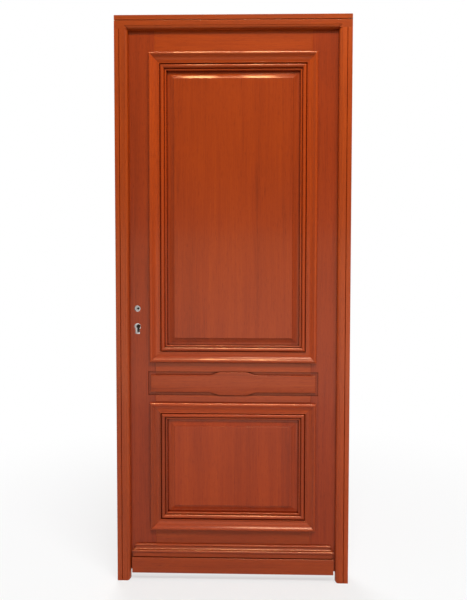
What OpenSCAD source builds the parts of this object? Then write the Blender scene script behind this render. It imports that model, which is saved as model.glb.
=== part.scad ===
// Panelled wooden front door hung in its frame. The leaf opens inward.
// Millimetres. X runs along the width and Z up, and the outside of the door faces -Y.
// The origin is on the floor line, midway between the jambs and at the frame's mid depth.

/* [Frame] */
// Overall width of the frame
frame_w = 900; // [880:5:1000]
// Overall height of the frame, from its feet to the top of the head
frame_h = 2175; // [2150:5:2250]
// Depth of the frame section, outside face to inside face
frame_depth = 68; // [66:1:76]
// Face width of the jambs and of the head
frame_face = 50; // [48:1:56]
// Depth of the stop that the leaf closes against
stop_depth = 20; // [18:1:22]
// Width of the rebate that the leaf sits in
rebate_w = 15; // [14:1:16]
// Radius of the rounded inner arris
arris_r = 12; // [8:1:14]
// Step between the face and the rounded arris
arris_step = 1.2; // [0.6:0.2:2]
// Distance of the score line from the frame's outer edge
score_offset = 18.5; // [14:0.5:22]
// Width of the score line
score_w = 3; // [2:0.5:4]
// Depth of the score line
score_d = 2.5; // [1:0.5:4]
// Chamfer on the inner corner of each foot
foot_chamfer = 7; // [3:1:12]
// Height of the lowest wall fixing
fixing_first = 130; // [100:5:150]
// Distance between wall fixings
fixing_pitch = 520; // [510:5:530]
// Radius of a wall fixing hole
fixing_r = 3.25; // [2.5:0.25:4]

/* [Leaf] */
// Gap between the leaf's edges and the rebate
leaf_gap = 3; // [2.5:0.5:4]
// Gap that the seal fills between the leaf and the stop
seal_gap = 3; // [2.5:0.5:4]
// Height of the leaf's lower edge above the floor line
leaf_bottom = 36; // [30:1:45]
// Width of the stiles
stile_w = 110; // [106:1:120]
// Height of the top rail
top_rail_h = 115; // [105:5:130]
// Height of the middle rail
mid_rail_h = 200; // [190:5:220]
// Height of the bottom rail
bottom_rail_h = 183; // [175:1:200]
// Height of the lower opening between the rails
lower_opening_h = 460; // [420:5:480]
// Length of the rail tenons
tenon_l = 60; // [40:5:60]
// Thickness of the rail tenons
tenon_t = 14; // [10:1:16]

/* [Mouldings and panels] */
// Width of the moulding, outer edge to panel
mould_w = 66; // [66:1:74]
// Overlap of the moulding on the stiles and rails
lip_w = 21; // [16:1:24]
// Projection of the moulding's nose in front of the leaf
nose_h = 16; // [14:1:18]
// Radius of the moulding's nose
nose_r = 7; // [5:0.5:8]
// Distance of the fillet from the moulding's outer edge
fillet_s = 37; // [34:1:38]
// Radius of the moulding's bead
bead_r = 7.5; // [6:0.5:7.5]
// Width of the bevel round the panels, with its flat margin
bevel_w = 28; // [22:1:34]
// Depth of the panel field behind the face of the leaf
field_d = 3; // [1:0.5:4]

/* [Middle table] */
// Distance of the table's centre line below the middle of its rail
table_drop = 4; // [0:1:8]
// Length of the recess in the middle rail
recess_l = 662; // [640:2:680]
// Height of the recess in the middle rail
recess_h = 93; // [88:1:100]
// Depth of the recess
recess_d = 4.5; // [2:0.5:5]
// Height of the table at its ends
table_h = 68; // [60:1:76]
// Projection of the table in front of the leaf
table_proud = 6; // [4:1:9]
// Half width of the flat part of the table's central swell
swell_flat = 47; // [30:1:55]
// Half width of the whole central swell
swell_half = 93; // [80:1:110]

/* [Plinth] */
// Height of the plinth's lower edge above the floor line
plinth_bottom = 30; // [28:1:34]
// Height of the plinth
plinth_h = 111; // [106:1:118]
// Gap between the plinth's ends and the jambs
plinth_end_gap = 6; // [5:0.5:9]

/* [Hinges] */
// Height of a hinge
hinge_h = 140; // [120:5:150]
// Width of a hinge wing let into the wood
wing_w = 31; // [28:1:31]
// Thickness of a hinge wing
wing_t = 3; // [2.5:0.5:3.5]
// Radius of the hinge barrel
barrel_r = 7; // [6.5:0.5:8]
// Radius of the hinge pin
pin_r = 4; // [3:0.5:4.5]
// Height of the lowest hinge's middle
hinge_first = 260; // [250:5:270]
// Distance of the highest hinge's middle below the top of the leaf
hinge_last_drop = 207; // [190:1:220]

/* [Lock] */
// Height of the spindle hub
hub_z = 1066; // [1060:1:1072]
// Distance of the hub from the edge of the leaf
backset = 40; // [40:1:45]
// Distance from the hub down to the cylinder
cylinder_drop = 70; // [70:1:72]
// Side of the square spindle hole
spindle_side = 8; // [7:1:9]
// Angle that the hub turns through
hub_turn = 35; // [30:1:38]
// Travel of the deadbolt and the round bolts
bolt_travel = 20; // [16:1:20]
// Height of the lower round bolt above the leaf's lower edge
bolt_rise = 310; // [290:5:330]
// Distance of the upper round bolt below the leaf's top
bolt_drop = 351; // [330:1:370]
// Length of the face plate beyond the round bolts
face_end = 130; // [110:5:150]

/* [Hidden] */
$fn = 48;

// Overcut of a tool past the face that it opens
cut = 1;
// Steps in a quarter turn of a moulded curve
arc_steps = 9;

// Planes of the frame
half_w = frame_w / 2;
open_half = half_w - frame_face;
open_top = frame_h - frame_face;
y_front = -frame_depth / 2;
y_back = frame_depth / 2;
y_stop = y_front + stop_depth;
rebate_half = open_half + rebate_w;
rebate_top = open_top + rebate_w;

// Tenons that join the jambs to the head, as distances from the opening
jamb_tenon_in = 5;
jamb_tenon_out = 10;
jamb_tenon_d0 = rebate_w + jamb_tenon_in;
jamb_tenon_d1 = frame_face - jamb_tenon_out;
jamb_tenon_h = 28;

// Seals, with their stems in a groove in the stop
seal_d = 6.5;
seal_stem_w = 3.5;
seal_stem_l = 5;
seal_w = 8;
seal_clear = 0.3;
seal_t = seal_gap - seal_clear;

// Wall fixings
fixing_count = 4;
fixing_sink = fixing_r;

// Planes of the leaf
leaf_half = rebate_half - leaf_gap;
leaf_top = rebate_top - leaf_gap;
leaf_y0 = y_stop + seal_gap;
leaf_t = y_back - leaf_y0;
leaf_mid = leaf_y0 + leaf_t / 2;
stile_in = leaf_half - stile_w;
joint_v = 0.8;
tenon_inset = 28;

// Heights of the rails
lower_z0 = leaf_bottom + bottom_rail_h;
lower_z1 = lower_z0 + lower_opening_h;
upper_z0 = lower_z1 + mid_rail_h;
upper_z1 = leaf_top - top_rail_h;
openings = [[lower_z0, lower_z1], [upper_z0, upper_z1]];
rails = [
  [leaf_bottom, bottom_rail_h],
  [lower_z1, mid_rail_h],
  [upper_z1, top_rail_h]
];

// Moulding section, as distance s from the outer edge and height h in front of the leaf
mould_half = stile_in + lip_w;
tongue_l = 10;
tongue_h0 = -30;
tongue_h1 = -18;
panel_h0 = -28;
panel_h1 = -14;
panel_bite = 12;
panel_slack = 1;
fillet_w = 3.5;
fillet_rise = 1.6;
quirk_w = 2.5;
quirk_h = -1;
bead_s = fillet_s + fillet_w + quirk_w + bead_r;
inner_quirk_d = 3;
inner_fillet_h = -1.5;
inner_arris_r = 2;
back_arris_r = 8;
nose_end = [nose_r * (1 + cos(45)), nose_h - nose_r * (1 - sin(45))];
cove_r = (fillet_s - nose_end[0]) / sin(45);
cove_h = nose_end[1] - cove_r * (1 - cos(45));

// Panel section beyond the moulding
shoulder_h = 3;
shoulder_r = 1.5;
margin_w = 8;
bevel_tilt = atan((-field_d - shoulder_h - panel_h1) / (bevel_w - margin_w));
bevel_ease_r = 25;
bevel_ease_l = bevel_ease_r * tan(bevel_tilt / 2);
back_field_d = 6;

// Middle table
table_end_gap = 10;
swell_clear = 1;
swell_steps = 10;
table_half = recess_l / 2 - table_end_gap;
table_z = (lower_z1 + upper_z0) / 2 - table_drop;

// Plinth section, as projection p and height above the plinth's foot
plinth_half = open_half - plinth_end_gap;
plinth_top_bead_r = 4;
plinth_top_p = 6;
plinth_bead_r = 5;
plinth_cove_r = 9;
plinth_board_p = 20;
plinth_board_share = 0.55;
plinth_board_h = plinth_h * plinth_board_share;
plinth_fascia_p = 16;
plinth_quirk_w = 3;
plinth_quirk_d = 5;
plinth_lip = 1;
plinth_step = 1;
plinth_fillet_h = 1.5;
plinth_arris = 1;
plinth_bead_sink = 0.5;
plinth_bead_p = plinth_fascia_p - plinth_bead_sink;
plinth_max_p = plinth_bead_p + plinth_bead_r;

// Hinges
hinge_count = 4;
barrel_clear = 0.6;
pin_x = rebate_half - leaf_gap / 2;
pin_y = y_back + barrel_r + barrel_clear;
pin_play = 0.05;
pin_seat = 0.02;
pin_end = 8;
pin_reach = hinge_h / 2 - pin_end;
hinge_split = 0.6;
ring_t = 0.9;
ring_play = 0.1;
hinge_pitch = (leaf_top - hinge_last_drop - hinge_first) / (hinge_count - 1);
hinge_heights = [for (i = [0 : hinge_count - 1]) hinge_first + i * hinge_pitch];
outer_row = 9;
inner_row = 22;
wing_screws = [[outer_row, -0.36], [outer_row, 0.36], [inner_row, -0.14], [inner_row, 0.14]];

// Countersunk screws
screw_head_r = 4;
screw_r = 2;
screw_l = 26;
screw_play = 0.1;
screw_slot = 1;

// Lock
edge_x = -leaf_half;
hub_x = edge_x + backset;
face_w = 20;
face_t = 3;
face_x = edge_x + face_t;
round_bolts = [leaf_bottom + bolt_rise, leaf_top - bolt_drop];
face_z0 = round_bolts[0] - face_end;
face_z1 = round_bolts[1] + face_end;
case_t = 15;
case_wall = 1.5;
case_back = 28;
case_drop = 38;
case_rise = 80;
case_l = backset + case_back;
case_z0 = hub_z - cylinder_drop - case_drop;
case_z1 = hub_z + case_rise;
inner_t = case_t - 2 * case_wall;
hub_r = 9.5;
hub_play = 0.08;
hub_disc_r = 14;
disc_play = 0.3;
arm_reach = 19;
arm_r = 3;
arm_play = 0.4;
slide_play = 0.5;
latch_rise = 30;
latch_z = hub_z + latch_rise;
latch_h = 24;
latch_l = 20;
latch_slope = 1.5;
tab_x = hub_x + arm_reach * sin(hub_turn / 2) + arm_r + arm_play;
tab_w = 5;
tab_bite = 2.5;
tail_clear = 2;
tail_z0 = hub_z + arm_reach + arm_r + tail_clear;
tail_h = 7;
tail_t = 5;
deadbolt_sink = 1;
deadbolt_z = hub_z - cylinder_drop / 2 - deadbolt_sink;
deadbolt_h = 28;
deadbolt_l = 47;
nose_inset = 0.5;
profile_r = 8.65;
profile_w = 10.3;
profile_h = 33.3;
wood_clear = 4;
hub_hole_r = 12;

// Rods and round bolts
rod_t = 3;
rod_w = 12;
rod_play = 1;
rod_x = face_x + slide_play;
bolt_r = 5.5;
bolt_tail_extra = 8;
bolt_tail_clear = 1;
slot_margin = 4;
slot_edge = 5;
bolt_tail = bolt_travel + bolt_tail_extra;
bolt_tail_x = face_x + bolt_travel + bolt_tail_clear;
bolt_tail_h = bolt_travel + 2 * slot_edge;
slot_x = bolt_tail_x + slot_margin;
drive_pin_r = 2;
drive_play = 0.3;
drive_t = 2;
bolt_tail_t = 8;
bolt_tail_front = 5;
bolt_tail_y = leaf_mid - bolt_tail_front;
drive_y = bolt_tail_y + bolt_tail_t + drive_play;
arm_w = 7;
arm_clear = 1;
arm_rise = 5;
arm_low = bolt_travel + bolt_tail_h / 2 + arm_w + arm_clear;
bolt_case_end = 3;
bolt_case_head = 8;
rod_rise = 46;
rod_clear = 4;
bolt_case_l = bolt_tail_x + bolt_tail + bolt_case_end - face_x;
bolt_case_low = arm_low + arm_clear + case_wall;
bolt_case_high = bolt_tail_h / 2 + bolt_case_head;
rod_upper_end = hub_z + rod_rise;
rod_lower_end = deadbolt_z - deadbolt_h / 2 - rod_clear;

// Heights of the face plate's screws beside the lock's case and beside the round bolts' cases
face_screw_drop = 14;
lock_screws = [case_z0 - face_screw_drop, case_z1 + face_screw_drop];
bolt_screws = [
  round_bolts[0] + bolt_case_low + face_screw_drop,
  round_bolts[1] - bolt_case_low - face_screw_drop
];

// Strike plates, and the plies of a jamb, whose core is as thick as the bolts' pockets
strike_t = 3;
strike_w = 22;
strike_x = -rebate_half;
strike_margin = 22;
strike_hole_play = 2;
pocket_play = 1;
round_strike_h = 70;
strike_screw_drop = 9;
core_t = inner_t + 2 * (strike_hole_play + pocket_play);
core_y0 = leaf_mid - core_t / 2;
core_y1 = leaf_mid + core_t / 2;
fixing_y = (y_stop + core_y0) / 2;
main_strike_z0 = deadbolt_z - deadbolt_h / 2 - strike_margin;
main_strike_z1 = latch_z + latch_h / 2 + strike_margin;

wood = [0.58, 0.25, 0.14];
zinc = [0.78, 0.77, 0.75];
steel = [0.62, 0.62, 0.63];
brass = [0.78, 0.62, 0.30];
rubber = [0.12, 0.10, 0.09];

// Shared shapes

function arc(centre, r, a0, a1, n = arc_steps) = [
  for (i = [0 : n])
    let (a = a0 + (a1 - a0) * i / n)
      [centre[0] + r * cos(a), centre[1] + r * sin(a)]
];

function swap(points) = [for (p = points) [p[1], p[0]]];

// A section in Y and Z run along X from x0 to x1
module along_x(x0, x1) {
  translate([x0, 0, 0]) rotate([90, 0, 90]) linear_extrude(x1 - x0) children();
}

// A shape in X and Z run along Y from y0 to y1
module along_y(y0, y1) {
  translate([0, y1, 0]) rotate([90, 0, 0]) linear_extrude(y1 - y0) children();
}

// A section in X and Y run along Z from z0 to z1
module along_z(z0, z1) {
  translate([0, 0, z0]) linear_extrude(z1 - z0) children();
}

module box(x0, x1, y0, y1, z0, z1) {
  translate([x0, y0, z0]) cube([x1 - x0, y1 - y0, z1 - z0]);
}

// A bar with round ends standing along Z, as a plate or its recess
module round_bar(x0, x1, w, z0, z1) {
  box(x0, x1, leaf_mid - w / 2, leaf_mid + w / 2, z0 + w / 2, z1 - w / 2);
  for (z = [z0 + w / 2, z1 - w / 2])
    translate([x0, leaf_mid, z]) rotate([0, 90, 0]) cylinder(r = w / 2, h = x1 - x0);
}

// A countersunk screw with its head's face at the origin and its shank down -Z
module screw_blank(play) {
  rotate_extrude()
    polygon([
      [0, play], [screw_head_r + play, play], [screw_head_r + play, 0],
      [screw_r + play, screw_r - screw_head_r], [screw_r + play, -screw_l - play], [0, -screw_l - play]
    ]);
}

module screw() {
  difference() {
    screw_blank(0);
    for (turn = [0, 90])
      rotate(turn)
        translate([-screw_r, -screw_slot / 2, -screw_slot]) cube([2 * screw_r, screw_slot, 2 * screw_slot]);
  }
}

// Turns a screw so that its head faces along X, to -1 or +1
module facing_x(side) {
  rotate([0, 90 * side, 0]) children();
}

// Frame

function score_points(d) = [
  [d + score_w / 2, y_front], [d, y_front + score_d], [d - score_w / 2, y_front]
];

function arris_points() = arc([arris_r, y_front + arris_step + arris_r], arris_r, 180, 270);

// Section of a jamb's front ply with the stop on it, as distance from the opening and Y
module jamb_section() {
  groove = [seal_d - seal_stem_w / 2, seal_d + seal_stem_w / 2];
  polygon(concat(
    [
      [frame_face, core_y0], [rebate_w, core_y0], [rebate_w, y_stop],
      [groove[1], y_stop], [groove[1], y_stop - seal_stem_l],
      [groove[0], y_stop - seal_stem_l], [groove[0], y_stop],
      [0, y_stop]
    ],
    arris_points(),
    [[arris_r, y_front]],
    [for (i = [2 : -1 : 0]) score_points(frame_face - score_offset)[i]],
    [[frame_face, y_front]]
  ));
}

module jamb_tenon() {
  box(
    open_half + jamb_tenon_d0, open_half + jamb_tenon_d1,
    core_y0, core_y1, open_top, open_top + jamb_tenon_h
  );
}

// Countersunk holes for the wall fixings, bored outward from the rebate
module wall_fixings() {
  for (i = [0 : fixing_count - 1])
    translate([rebate_half, fixing_y, fixing_first + i * fixing_pitch]) rotate([0, 90, 0]) {
      translate([0, 0, -cut]) cylinder(r = fixing_r, h = frame_face);
      cylinder(r1 = 2 * fixing_r, r2 = fixing_r, h = fixing_sink);
    }
}

// The right-hand jamb's front ply before its hardware is let in
module jamb_front() {
  difference() {
    translate([open_half, 0, 0]) along_z(0, open_top) jamb_section();
    wall_fixings();
    along_y(y_front - cut, y_back + cut)
      polygon([
        [open_half - cut, -cut], [open_half + foot_chamfer + cut, -cut],
        [open_half - cut, foot_chamfer + cut]
      ]);
  }
}

// Its core, which runs on into the head as a tenon
module jamb_core() {
  box(rebate_half, half_w, core_y0, core_y1, 0, open_top);
  jamb_tenon();
}

module jamb_back() {
  box(rebate_half, half_w, core_y1, y_back, 0, open_top);
}

// Cuts the hinges' wings and screws out of a ply
module let_in_hinges() {
  color(wood)
    difference() {
      children();
      for (z = hinge_heights) {
        hinge_wing(z);
        wing_screw_places(z) screw_blank(screw_play);
      }
    }
}

module right_jamb() {
  let_in_hinges() jamb_front();
}

module right_jamb_core() {
  let_in_hinges() jamb_core();
}

module right_jamb_back() {
  let_in_hinges() jamb_back();
}

// Mirrors a ply to the left and cuts the strike plates and their screws out of it
module let_in_strikes() {
  color(wood)
    difference() {
      mirror([1, 0, 0]) children();
      main_strike_blank();
      for (z = round_bolts)
        round_strike_blank(z);
      strike_screw_places() screw_blank(screw_play);
    }
}

module left_jamb() {
  let_in_strikes() jamb_front();
}

// The core, in lengths that leave the bolts' pockets open between them
module left_jamb_core() {
  difference() {
    let_in_strikes() jamb_core();
    bolt_pockets();
  }
}

module left_jamb_back() {
  let_in_strikes() jamb_back();
}

module head() {
  mitre = arris_r + cut;
  color(wood)
    difference() {
      along_x(-half_w, half_w)
        polygon(concat(
          [[y_back, frame_h], [y_back, open_top], [y_front, open_top]],
          swap([for (i = [2 : -1 : 0]) score_points(frame_h - score_offset)[i]]),
          [[y_front, frame_h]]
        ));
      box(-rebate_half, rebate_half, y_stop, y_back + cut, open_top - cut, rebate_top);
      seal_stem_head(cut);
      intersection() {
        along_x(-half_w, half_w)
          translate([0, open_top])
            polygon(concat(
              swap(arris_points()),
              [[y_front - cut, arris_r], [y_front - cut, -cut], [y_front + arris_step + arris_r, -cut]]
            ));
        along_y(y_front - cut, y_stop)
          polygon([
            [-open_half + cut, open_top - cut], [open_half - cut, open_top - cut],
            [open_half + mitre, open_top + mitre], [-open_half - mitre, open_top + mitre]
          ]);
      }
      for (side = [0, 1])
        mirror([side, 0, 0]) jamb_tenon();
    }
}

// Seals

module seal_stem_head(under) {
  reach = open_half + seal_d + seal_stem_w / 2;
  box(
    -reach, reach, y_stop - seal_stem_l, y_stop + under,
    open_top + seal_d - seal_stem_w / 2, open_top + seal_d + seal_stem_w / 2
  );
}

module head_seal() {
  reach = open_half + seal_d + seal_w / 2;
  color(rubber) {
    seal_stem_head(0);
    box(
      -reach, reach, y_stop, y_stop + seal_t,
      open_top + seal_d - seal_w / 2, open_top + seal_d + seal_w / 2
    );
  }
}

module right_seal() {
  x = open_half + seal_d;
  color(rubber) {
    box(x - seal_stem_w / 2, x + seal_stem_w / 2, y_stop - seal_stem_l, y_stop, leaf_bottom, open_top);
    box(x - seal_w / 2, x + seal_w / 2, y_stop, y_stop + seal_t, leaf_bottom, open_top + seal_d - seal_w / 2);
  }
}

module left_seal() {
  mirror([1, 0, 0]) right_seal();
}

// Leaf framing

// Groove that takes a moulding's tongue, in the stiles or across the rails
module tongue_groove(o) {
  y0 = leaf_y0 - tongue_h1;
  y1 = leaf_y0 - tongue_h0;
  box(
    -stile_in - tongue_l, stile_in + tongue_l, y0, y1,
    o[0] - tongue_l, o[1] + tongue_l
  );
}

module rail_tenons(rail) {
  reach = stile_in + tenon_l;
  box(
    -reach, reach, leaf_mid - tenon_t / 2, leaf_mid + tenon_t / 2,
    rail[0] + tenon_inset, rail[0] + rail[1] - tenon_inset
  );
}

// Fine V along the front of a rail's shoulders
module joint_lines(rail) {
  for (side = [-1, 1])
    along_z(rail[0], rail[0] + rail[1])
      polygon([
        [side * stile_in - joint_v, leaf_y0 - cut], [side * stile_in - joint_v, leaf_y0],
        [side * stile_in, leaf_y0 + joint_v],
        [side * stile_in + joint_v, leaf_y0], [side * stile_in + joint_v, leaf_y0 - cut]
      ]);
}

module table_recess() {
  box(
    -recess_l / 2, recess_l / 2, leaf_y0 - cut, leaf_y0 + recess_d,
    table_z - recess_h / 2, table_z + recess_h / 2
  );
}

// The right-hand stile before its hardware is let in
module stile_blank() {
  difference() {
    box(stile_in, leaf_half, leaf_y0, y_back, leaf_bottom, leaf_top);
    for (o = openings)
      tongue_groove(o);
    for (rail = rails) {
      rail_tenons(rail);
      joint_lines(rail);
    }
    table_recess();
  }
}

module hinge_stile() {
  color(wood)
    difference() {
      stile_blank();
      for (z = hinge_heights)
        across_pin() {
          hinge_wing(z);
          wing_screw_places(z) screw_blank(screw_play);
        }
    }
}

module lock_stile() {
  color(wood)
    difference() {
      mirror([1, 0, 0]) stile_blank();
      round_bar(edge_x - cut, face_x, face_w, face_z0, face_z1);
      box(
        face_x - cut, rod_x + rod_t + slide_play,
        leaf_mid - rod_w / 2 - rod_play, leaf_mid + rod_w / 2 + rod_play,
        round_bolts[0], round_bolts[1]
      );
      box(
        face_x - cut, face_x + case_l, leaf_mid - case_t / 2, leaf_mid + case_t / 2,
        case_z0, case_z1
      );
      for (side = [-1, 1])
        bolt_case_block(side, 0);
      along_y(leaf_y0 - cut, leaf_mid) translate([hub_x, hub_z]) circle(hub_hole_r);
      along_y(leaf_y0 - cut, leaf_mid) profile_hole(wood_clear);
      face_screw_places() screw_blank(screw_play);
    }
}

module rail_blank(rail) {
  difference() {
    union() {
      box(-stile_in, stile_in, leaf_y0, y_back, rail[0], rail[0] + rail[1]);
      rail_tenons(rail);
    }
    for (o = openings)
      tongue_groove(o);
    joint_lines(rail);
  }
}

module top_rail() {
  color(wood) rail_blank(rails[2]);
}

module middle_rail() {
  color(wood)
    difference() {
      rail_blank(rails[1]);
      table_recess();
    }
}

module bottom_rail() {
  color(wood) rail_blank(rails[0]);
}

// Mouldings

function moulding_profile() = concat(
  [[lip_w, 0], [0, 0], [0, nose_h - nose_r]],
  arc([nose_r, nose_h - nose_r], nose_r, 165, 45, 10),
  arc([fillet_s, cove_h + cove_r], cove_r, 228, 270),
  [[fillet_s, cove_h + fillet_rise], [fillet_s + fillet_w, cove_h + fillet_rise]],
  [[fillet_s + fillet_w, quirk_h]],
  arc([bead_s, quirk_h], bead_r, 180, 0, 2 * arc_steps),
  [
    [bead_s + bead_r, quirk_h - inner_quirk_d], [bead_s + bead_r + quirk_w, quirk_h - inner_quirk_d],
    [bead_s + bead_r + quirk_w, inner_fillet_h]
  ],
  arc([mould_w - inner_arris_r, inner_fillet_h - inner_arris_r], inner_arris_r, 90, 0, 4),
  [
    [mould_w, panel_h1], [mould_w - panel_bite, panel_h1],
    [mould_w - panel_bite, panel_h0], [mould_w, panel_h0]
  ],
  arc([mould_w - back_arris_r, -leaf_t + back_arris_r], back_arris_r, 0, -90),
  [
    [lip_w, -leaf_t], [lip_w, tongue_h0], [lip_w - tongue_l, tongue_h0],
    [lip_w - tongue_l, tongue_h1], [lip_w, tongue_h1]
  ]
);

function moulding_section() = [for (p = moulding_profile()) [p[0], leaf_y0 - p[1]]];

// A left-hand bar, cut to its mitres
module side_bar(o) {
  z0 = o[0] - lip_w;
  z1 = o[1] + lip_w;
  color(wood)
    intersection() {
      translate([-mould_half, 0, 0]) along_z(z0, z1) polygon(moulding_section());
      along_y(leaf_y0 - nose_h - cut, y_back + cut)
        polygon([
          [-mould_half, z0], [-mould_half, z1],
          [-mould_half + mould_w, z1 - mould_w], [-mould_half + mould_w, z0 + mould_w]
        ]);
    }
}

// A lower bar, cut to its mitres
module level_bar(o) {
  z0 = o[0] - lip_w;
  inner = mould_half - mould_w;
  color(wood)
    intersection() {
      along_x(-mould_half, mould_half) translate([0, z0]) polygon(swap(moulding_section()));
      along_y(leaf_y0 - nose_h - cut, y_back + cut)
        polygon([
          [-mould_half, z0], [mould_half, z0], [inner, z0 + mould_w], [-inner, z0 + mould_w]
        ]);
    }
}

// Turns a lower bar over to make the upper one of the same opening
module turned_over(o) {
  translate([0, 0, o[0] + o[1]]) mirror([0, 0, 1]) children();
}

module upper_moulding_left() {
  side_bar(openings[1]);
}

module upper_moulding_right() {
  mirror([1, 0, 0]) side_bar(openings[1]);
}

module upper_moulding_bottom() {
  level_bar(openings[1]);
}

module upper_moulding_top() {
  turned_over(openings[1]) level_bar(openings[1]);
}

module lower_moulding_left() {
  side_bar(openings[0]);
}

module lower_moulding_right() {
  mirror([1, 0, 0]) side_bar(openings[0]);
}

module lower_moulding_bottom() {
  level_bar(openings[0]);
}

module lower_moulding_top() {
  turned_over(openings[0]) level_bar(openings[0]);
}

// Panels

// One edge of a panel, front to back, as distance s from the moulding's outer edge
function panel_edge() =
  let (field_s = mould_w + bevel_w)
    concat(
      [[field_s + shoulder_r, -field_d]],
      arc([field_s + shoulder_r, -field_d - shoulder_r], shoulder_r, 90, 180, 4),
      [[field_s, -field_d - shoulder_h]],
      arc(
        [mould_w + margin_w - bevel_ease_l, panel_h1 + bevel_ease_r],
        bevel_ease_r, 270 + bevel_tilt, 270, 4
      ),
      [
        [mould_w - panel_bite + panel_slack, panel_h1], [mould_w - panel_bite + panel_slack, panel_h0],
        [mould_w, panel_h0], [field_s, -leaf_t + back_field_d + shoulder_h],
        [field_s, -leaf_t + back_field_d]
      ]
    );

// Whole section of a panel whose moulding is 2 * half across
function panel_section(half) =
  let (edge = panel_edge(), last = len(edge) - 1)
    concat(
      [for (p = edge) [half - p[0], leaf_y0 - p[1]]],
      [for (i = [last : -1 : 0]) [edge[i][0] - half, leaf_y0 - edge[i][1]]]
    );

module panel(o) {
  mid = (o[0] + o[1]) / 2;
  tall = (o[1] - o[0]) / 2 + lip_w;
  color(wood)
    intersection() {
      along_z(o[0], o[1]) polygon(panel_section(mould_half));
      along_x(-mould_half, mould_half) translate([0, mid]) polygon(swap(panel_section(tall)));
    }
}

module upper_panel() {
  panel(openings[1]);
}

module lower_panel() {
  panel(openings[0]);
}

// Middle table

// Half height of the table at x, swelling to the recess's edges in the middle
function table_reach(x) =
  let (t = (abs(x) - swell_flat) / (swell_half - swell_flat))
    let (blend = t <= 0 ? 1 : t >= 1 ? 0 : (1 + cos(180 * t)) / 2)
      (table_h + (recess_h - 2 * swell_clear - table_h) * blend) / 2;

// Outline of the table in X and Z, with its corners along X taken from one end to the other
function table_outline() =
  let (
    ramp = [for (i = [0 : swell_steps]) swell_flat + (swell_half - swell_flat) * i / swell_steps],
    right = concat(ramp, [table_half]),
    last = len(right) - 1,
    xs = concat([for (i = [last : -1 : 0]) -right[i]], right)
  )
    concat(
      [for (x = xs) [x, table_z - table_reach(x)]],
      [for (i = [len(xs) - 1 : -1 : 0]) [xs[i], table_z + table_reach(xs[i])]]
    );

module middle_table() {
  color(wood)
    along_y(leaf_y0 - table_proud, leaf_y0 + recess_d) polygon(table_outline());
}

// Plinth

// Front of the plinth from its top down, as projection p and height
function plinth_profile() =
  let (
    top = plinth_bottom + plinth_h,
    bead_z = top - plinth_top_bead_r - plinth_lip,
    cove_z = bead_z - plinth_top_bead_r - plinth_step,
    cove_p = plinth_fascia_p - plinth_cove_r,
    nose_z = cove_z - plinth_cove_r - plinth_fillet_h - plinth_bead_r,
    board_z = plinth_bottom + plinth_board_h
  )
    concat(
      [[plinth_top_p, top], [plinth_top_p, bead_z + plinth_top_bead_r]],
      arc([plinth_top_p, bead_z], plinth_top_bead_r, 80, -90, 12),
      [[cove_p, bead_z - plinth_top_bead_r]],
      arc([plinth_fascia_p, cove_z], plinth_cove_r, 180, 270),
      arc([plinth_bead_p, nose_z], plinth_bead_r, 90, -90, 2 * arc_steps),
      [
        [plinth_fascia_p, nose_z - plinth_bead_r], [plinth_fascia_p, board_z + plinth_quirk_w],
        [plinth_fascia_p - plinth_quirk_d, board_z + plinth_quirk_w],
        [plinth_fascia_p - plinth_quirk_d, board_z], [plinth_board_p - plinth_arris, board_z],
        [plinth_board_p, board_z - plinth_arris], [plinth_board_p, plinth_bottom + plinth_arris],
        [plinth_board_p - plinth_arris, plinth_bottom]
      ]
    );

module plinth() {
  profile = plinth_profile();
  last = len(profile) - 1;
  shift = plinth_half - plinth_max_p;
  color(wood)
    intersection() {
      along_x(-plinth_half, plinth_half)
        polygon(concat(
          [[leaf_y0, plinth_bottom + plinth_h]],
          [for (p = profile) [leaf_y0 - p[0], p[1]]],
          [[leaf_y0, plinth_bottom]]
        ));
      along_y(leaf_y0 - plinth_max_p - cut, leaf_y0 + cut)
        polygon(concat(
          [for (p = profile) [shift + p[0], p[1]]],
          [for (i = [last : -1 : 0]) [-shift - profile[i][0], profile[i][1]]]
        ));
    }
}

// Hinges

// Mirrors a shape from the jamb's side of the hinge pin to the leaf's side
module across_pin() {
  translate([2 * pin_x, 0, 0]) mirror([1, 0, 0]) children();
}

// Wing on the jamb's side, let into the rebate
module hinge_wing(z) {
  box(rebate_half, rebate_half + wing_t, y_back - wing_w, y_back, z - hinge_h / 2, z + hinge_h / 2);
}

module wing_screw_places(z) {
  for (place = wing_screws)
    translate([rebate_half, y_back - place[0], z + place[1] * hinge_h]) facing_x(-1) children();
}

// Half of a hinge barrel with its wing, from z0 to z1
module hinge_half(z, z0, z1) {
  difference() {
    union() {
      hinge_wing(z);
      box(rebate_half, rebate_half + wing_t, y_back, pin_y, z0, z1);
      translate([pin_x, pin_y, z0]) cylinder(r = barrel_r, h = z1 - z0);
    }
    wing_screw_places(z) screw_blank(screw_play);
  }
}

module hinge_fixed(i) {
  z = hinge_heights[i];
  color(steel)
    difference() {
      hinge_half(z, z - hinge_h / 2, z - hinge_split);
      translate([pin_x, pin_y, z - pin_reach]) cylinder(r = pin_r + pin_seat, h = hinge_h);
    }
}

module hinge_moving(i) {
  z = hinge_heights[i];
  color(steel)
    difference() {
      across_pin() hinge_half(z, z + hinge_split, z + hinge_h / 2);
      translate([pin_x, pin_y, z - cut]) cylinder(r = pin_r + pin_play, h = pin_reach + 2 * cut);
    }
}

module hinge_pins() {
  color(steel)
    for (z = hinge_heights)
      translate([pin_x, pin_y, z - pin_reach]) cylinder(r = pin_r, h = 2 * pin_reach);
}

module hinge_rings() {
  color(brass)
    for (z = hinge_heights)
      translate([pin_x, pin_y, z - hinge_split])
        difference() {
          cylinder(r = barrel_r, h = ring_t);
          translate([0, 0, -cut]) cylinder(r = pin_r + ring_play, h = ring_t + 2 * cut);
        }
}

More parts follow.
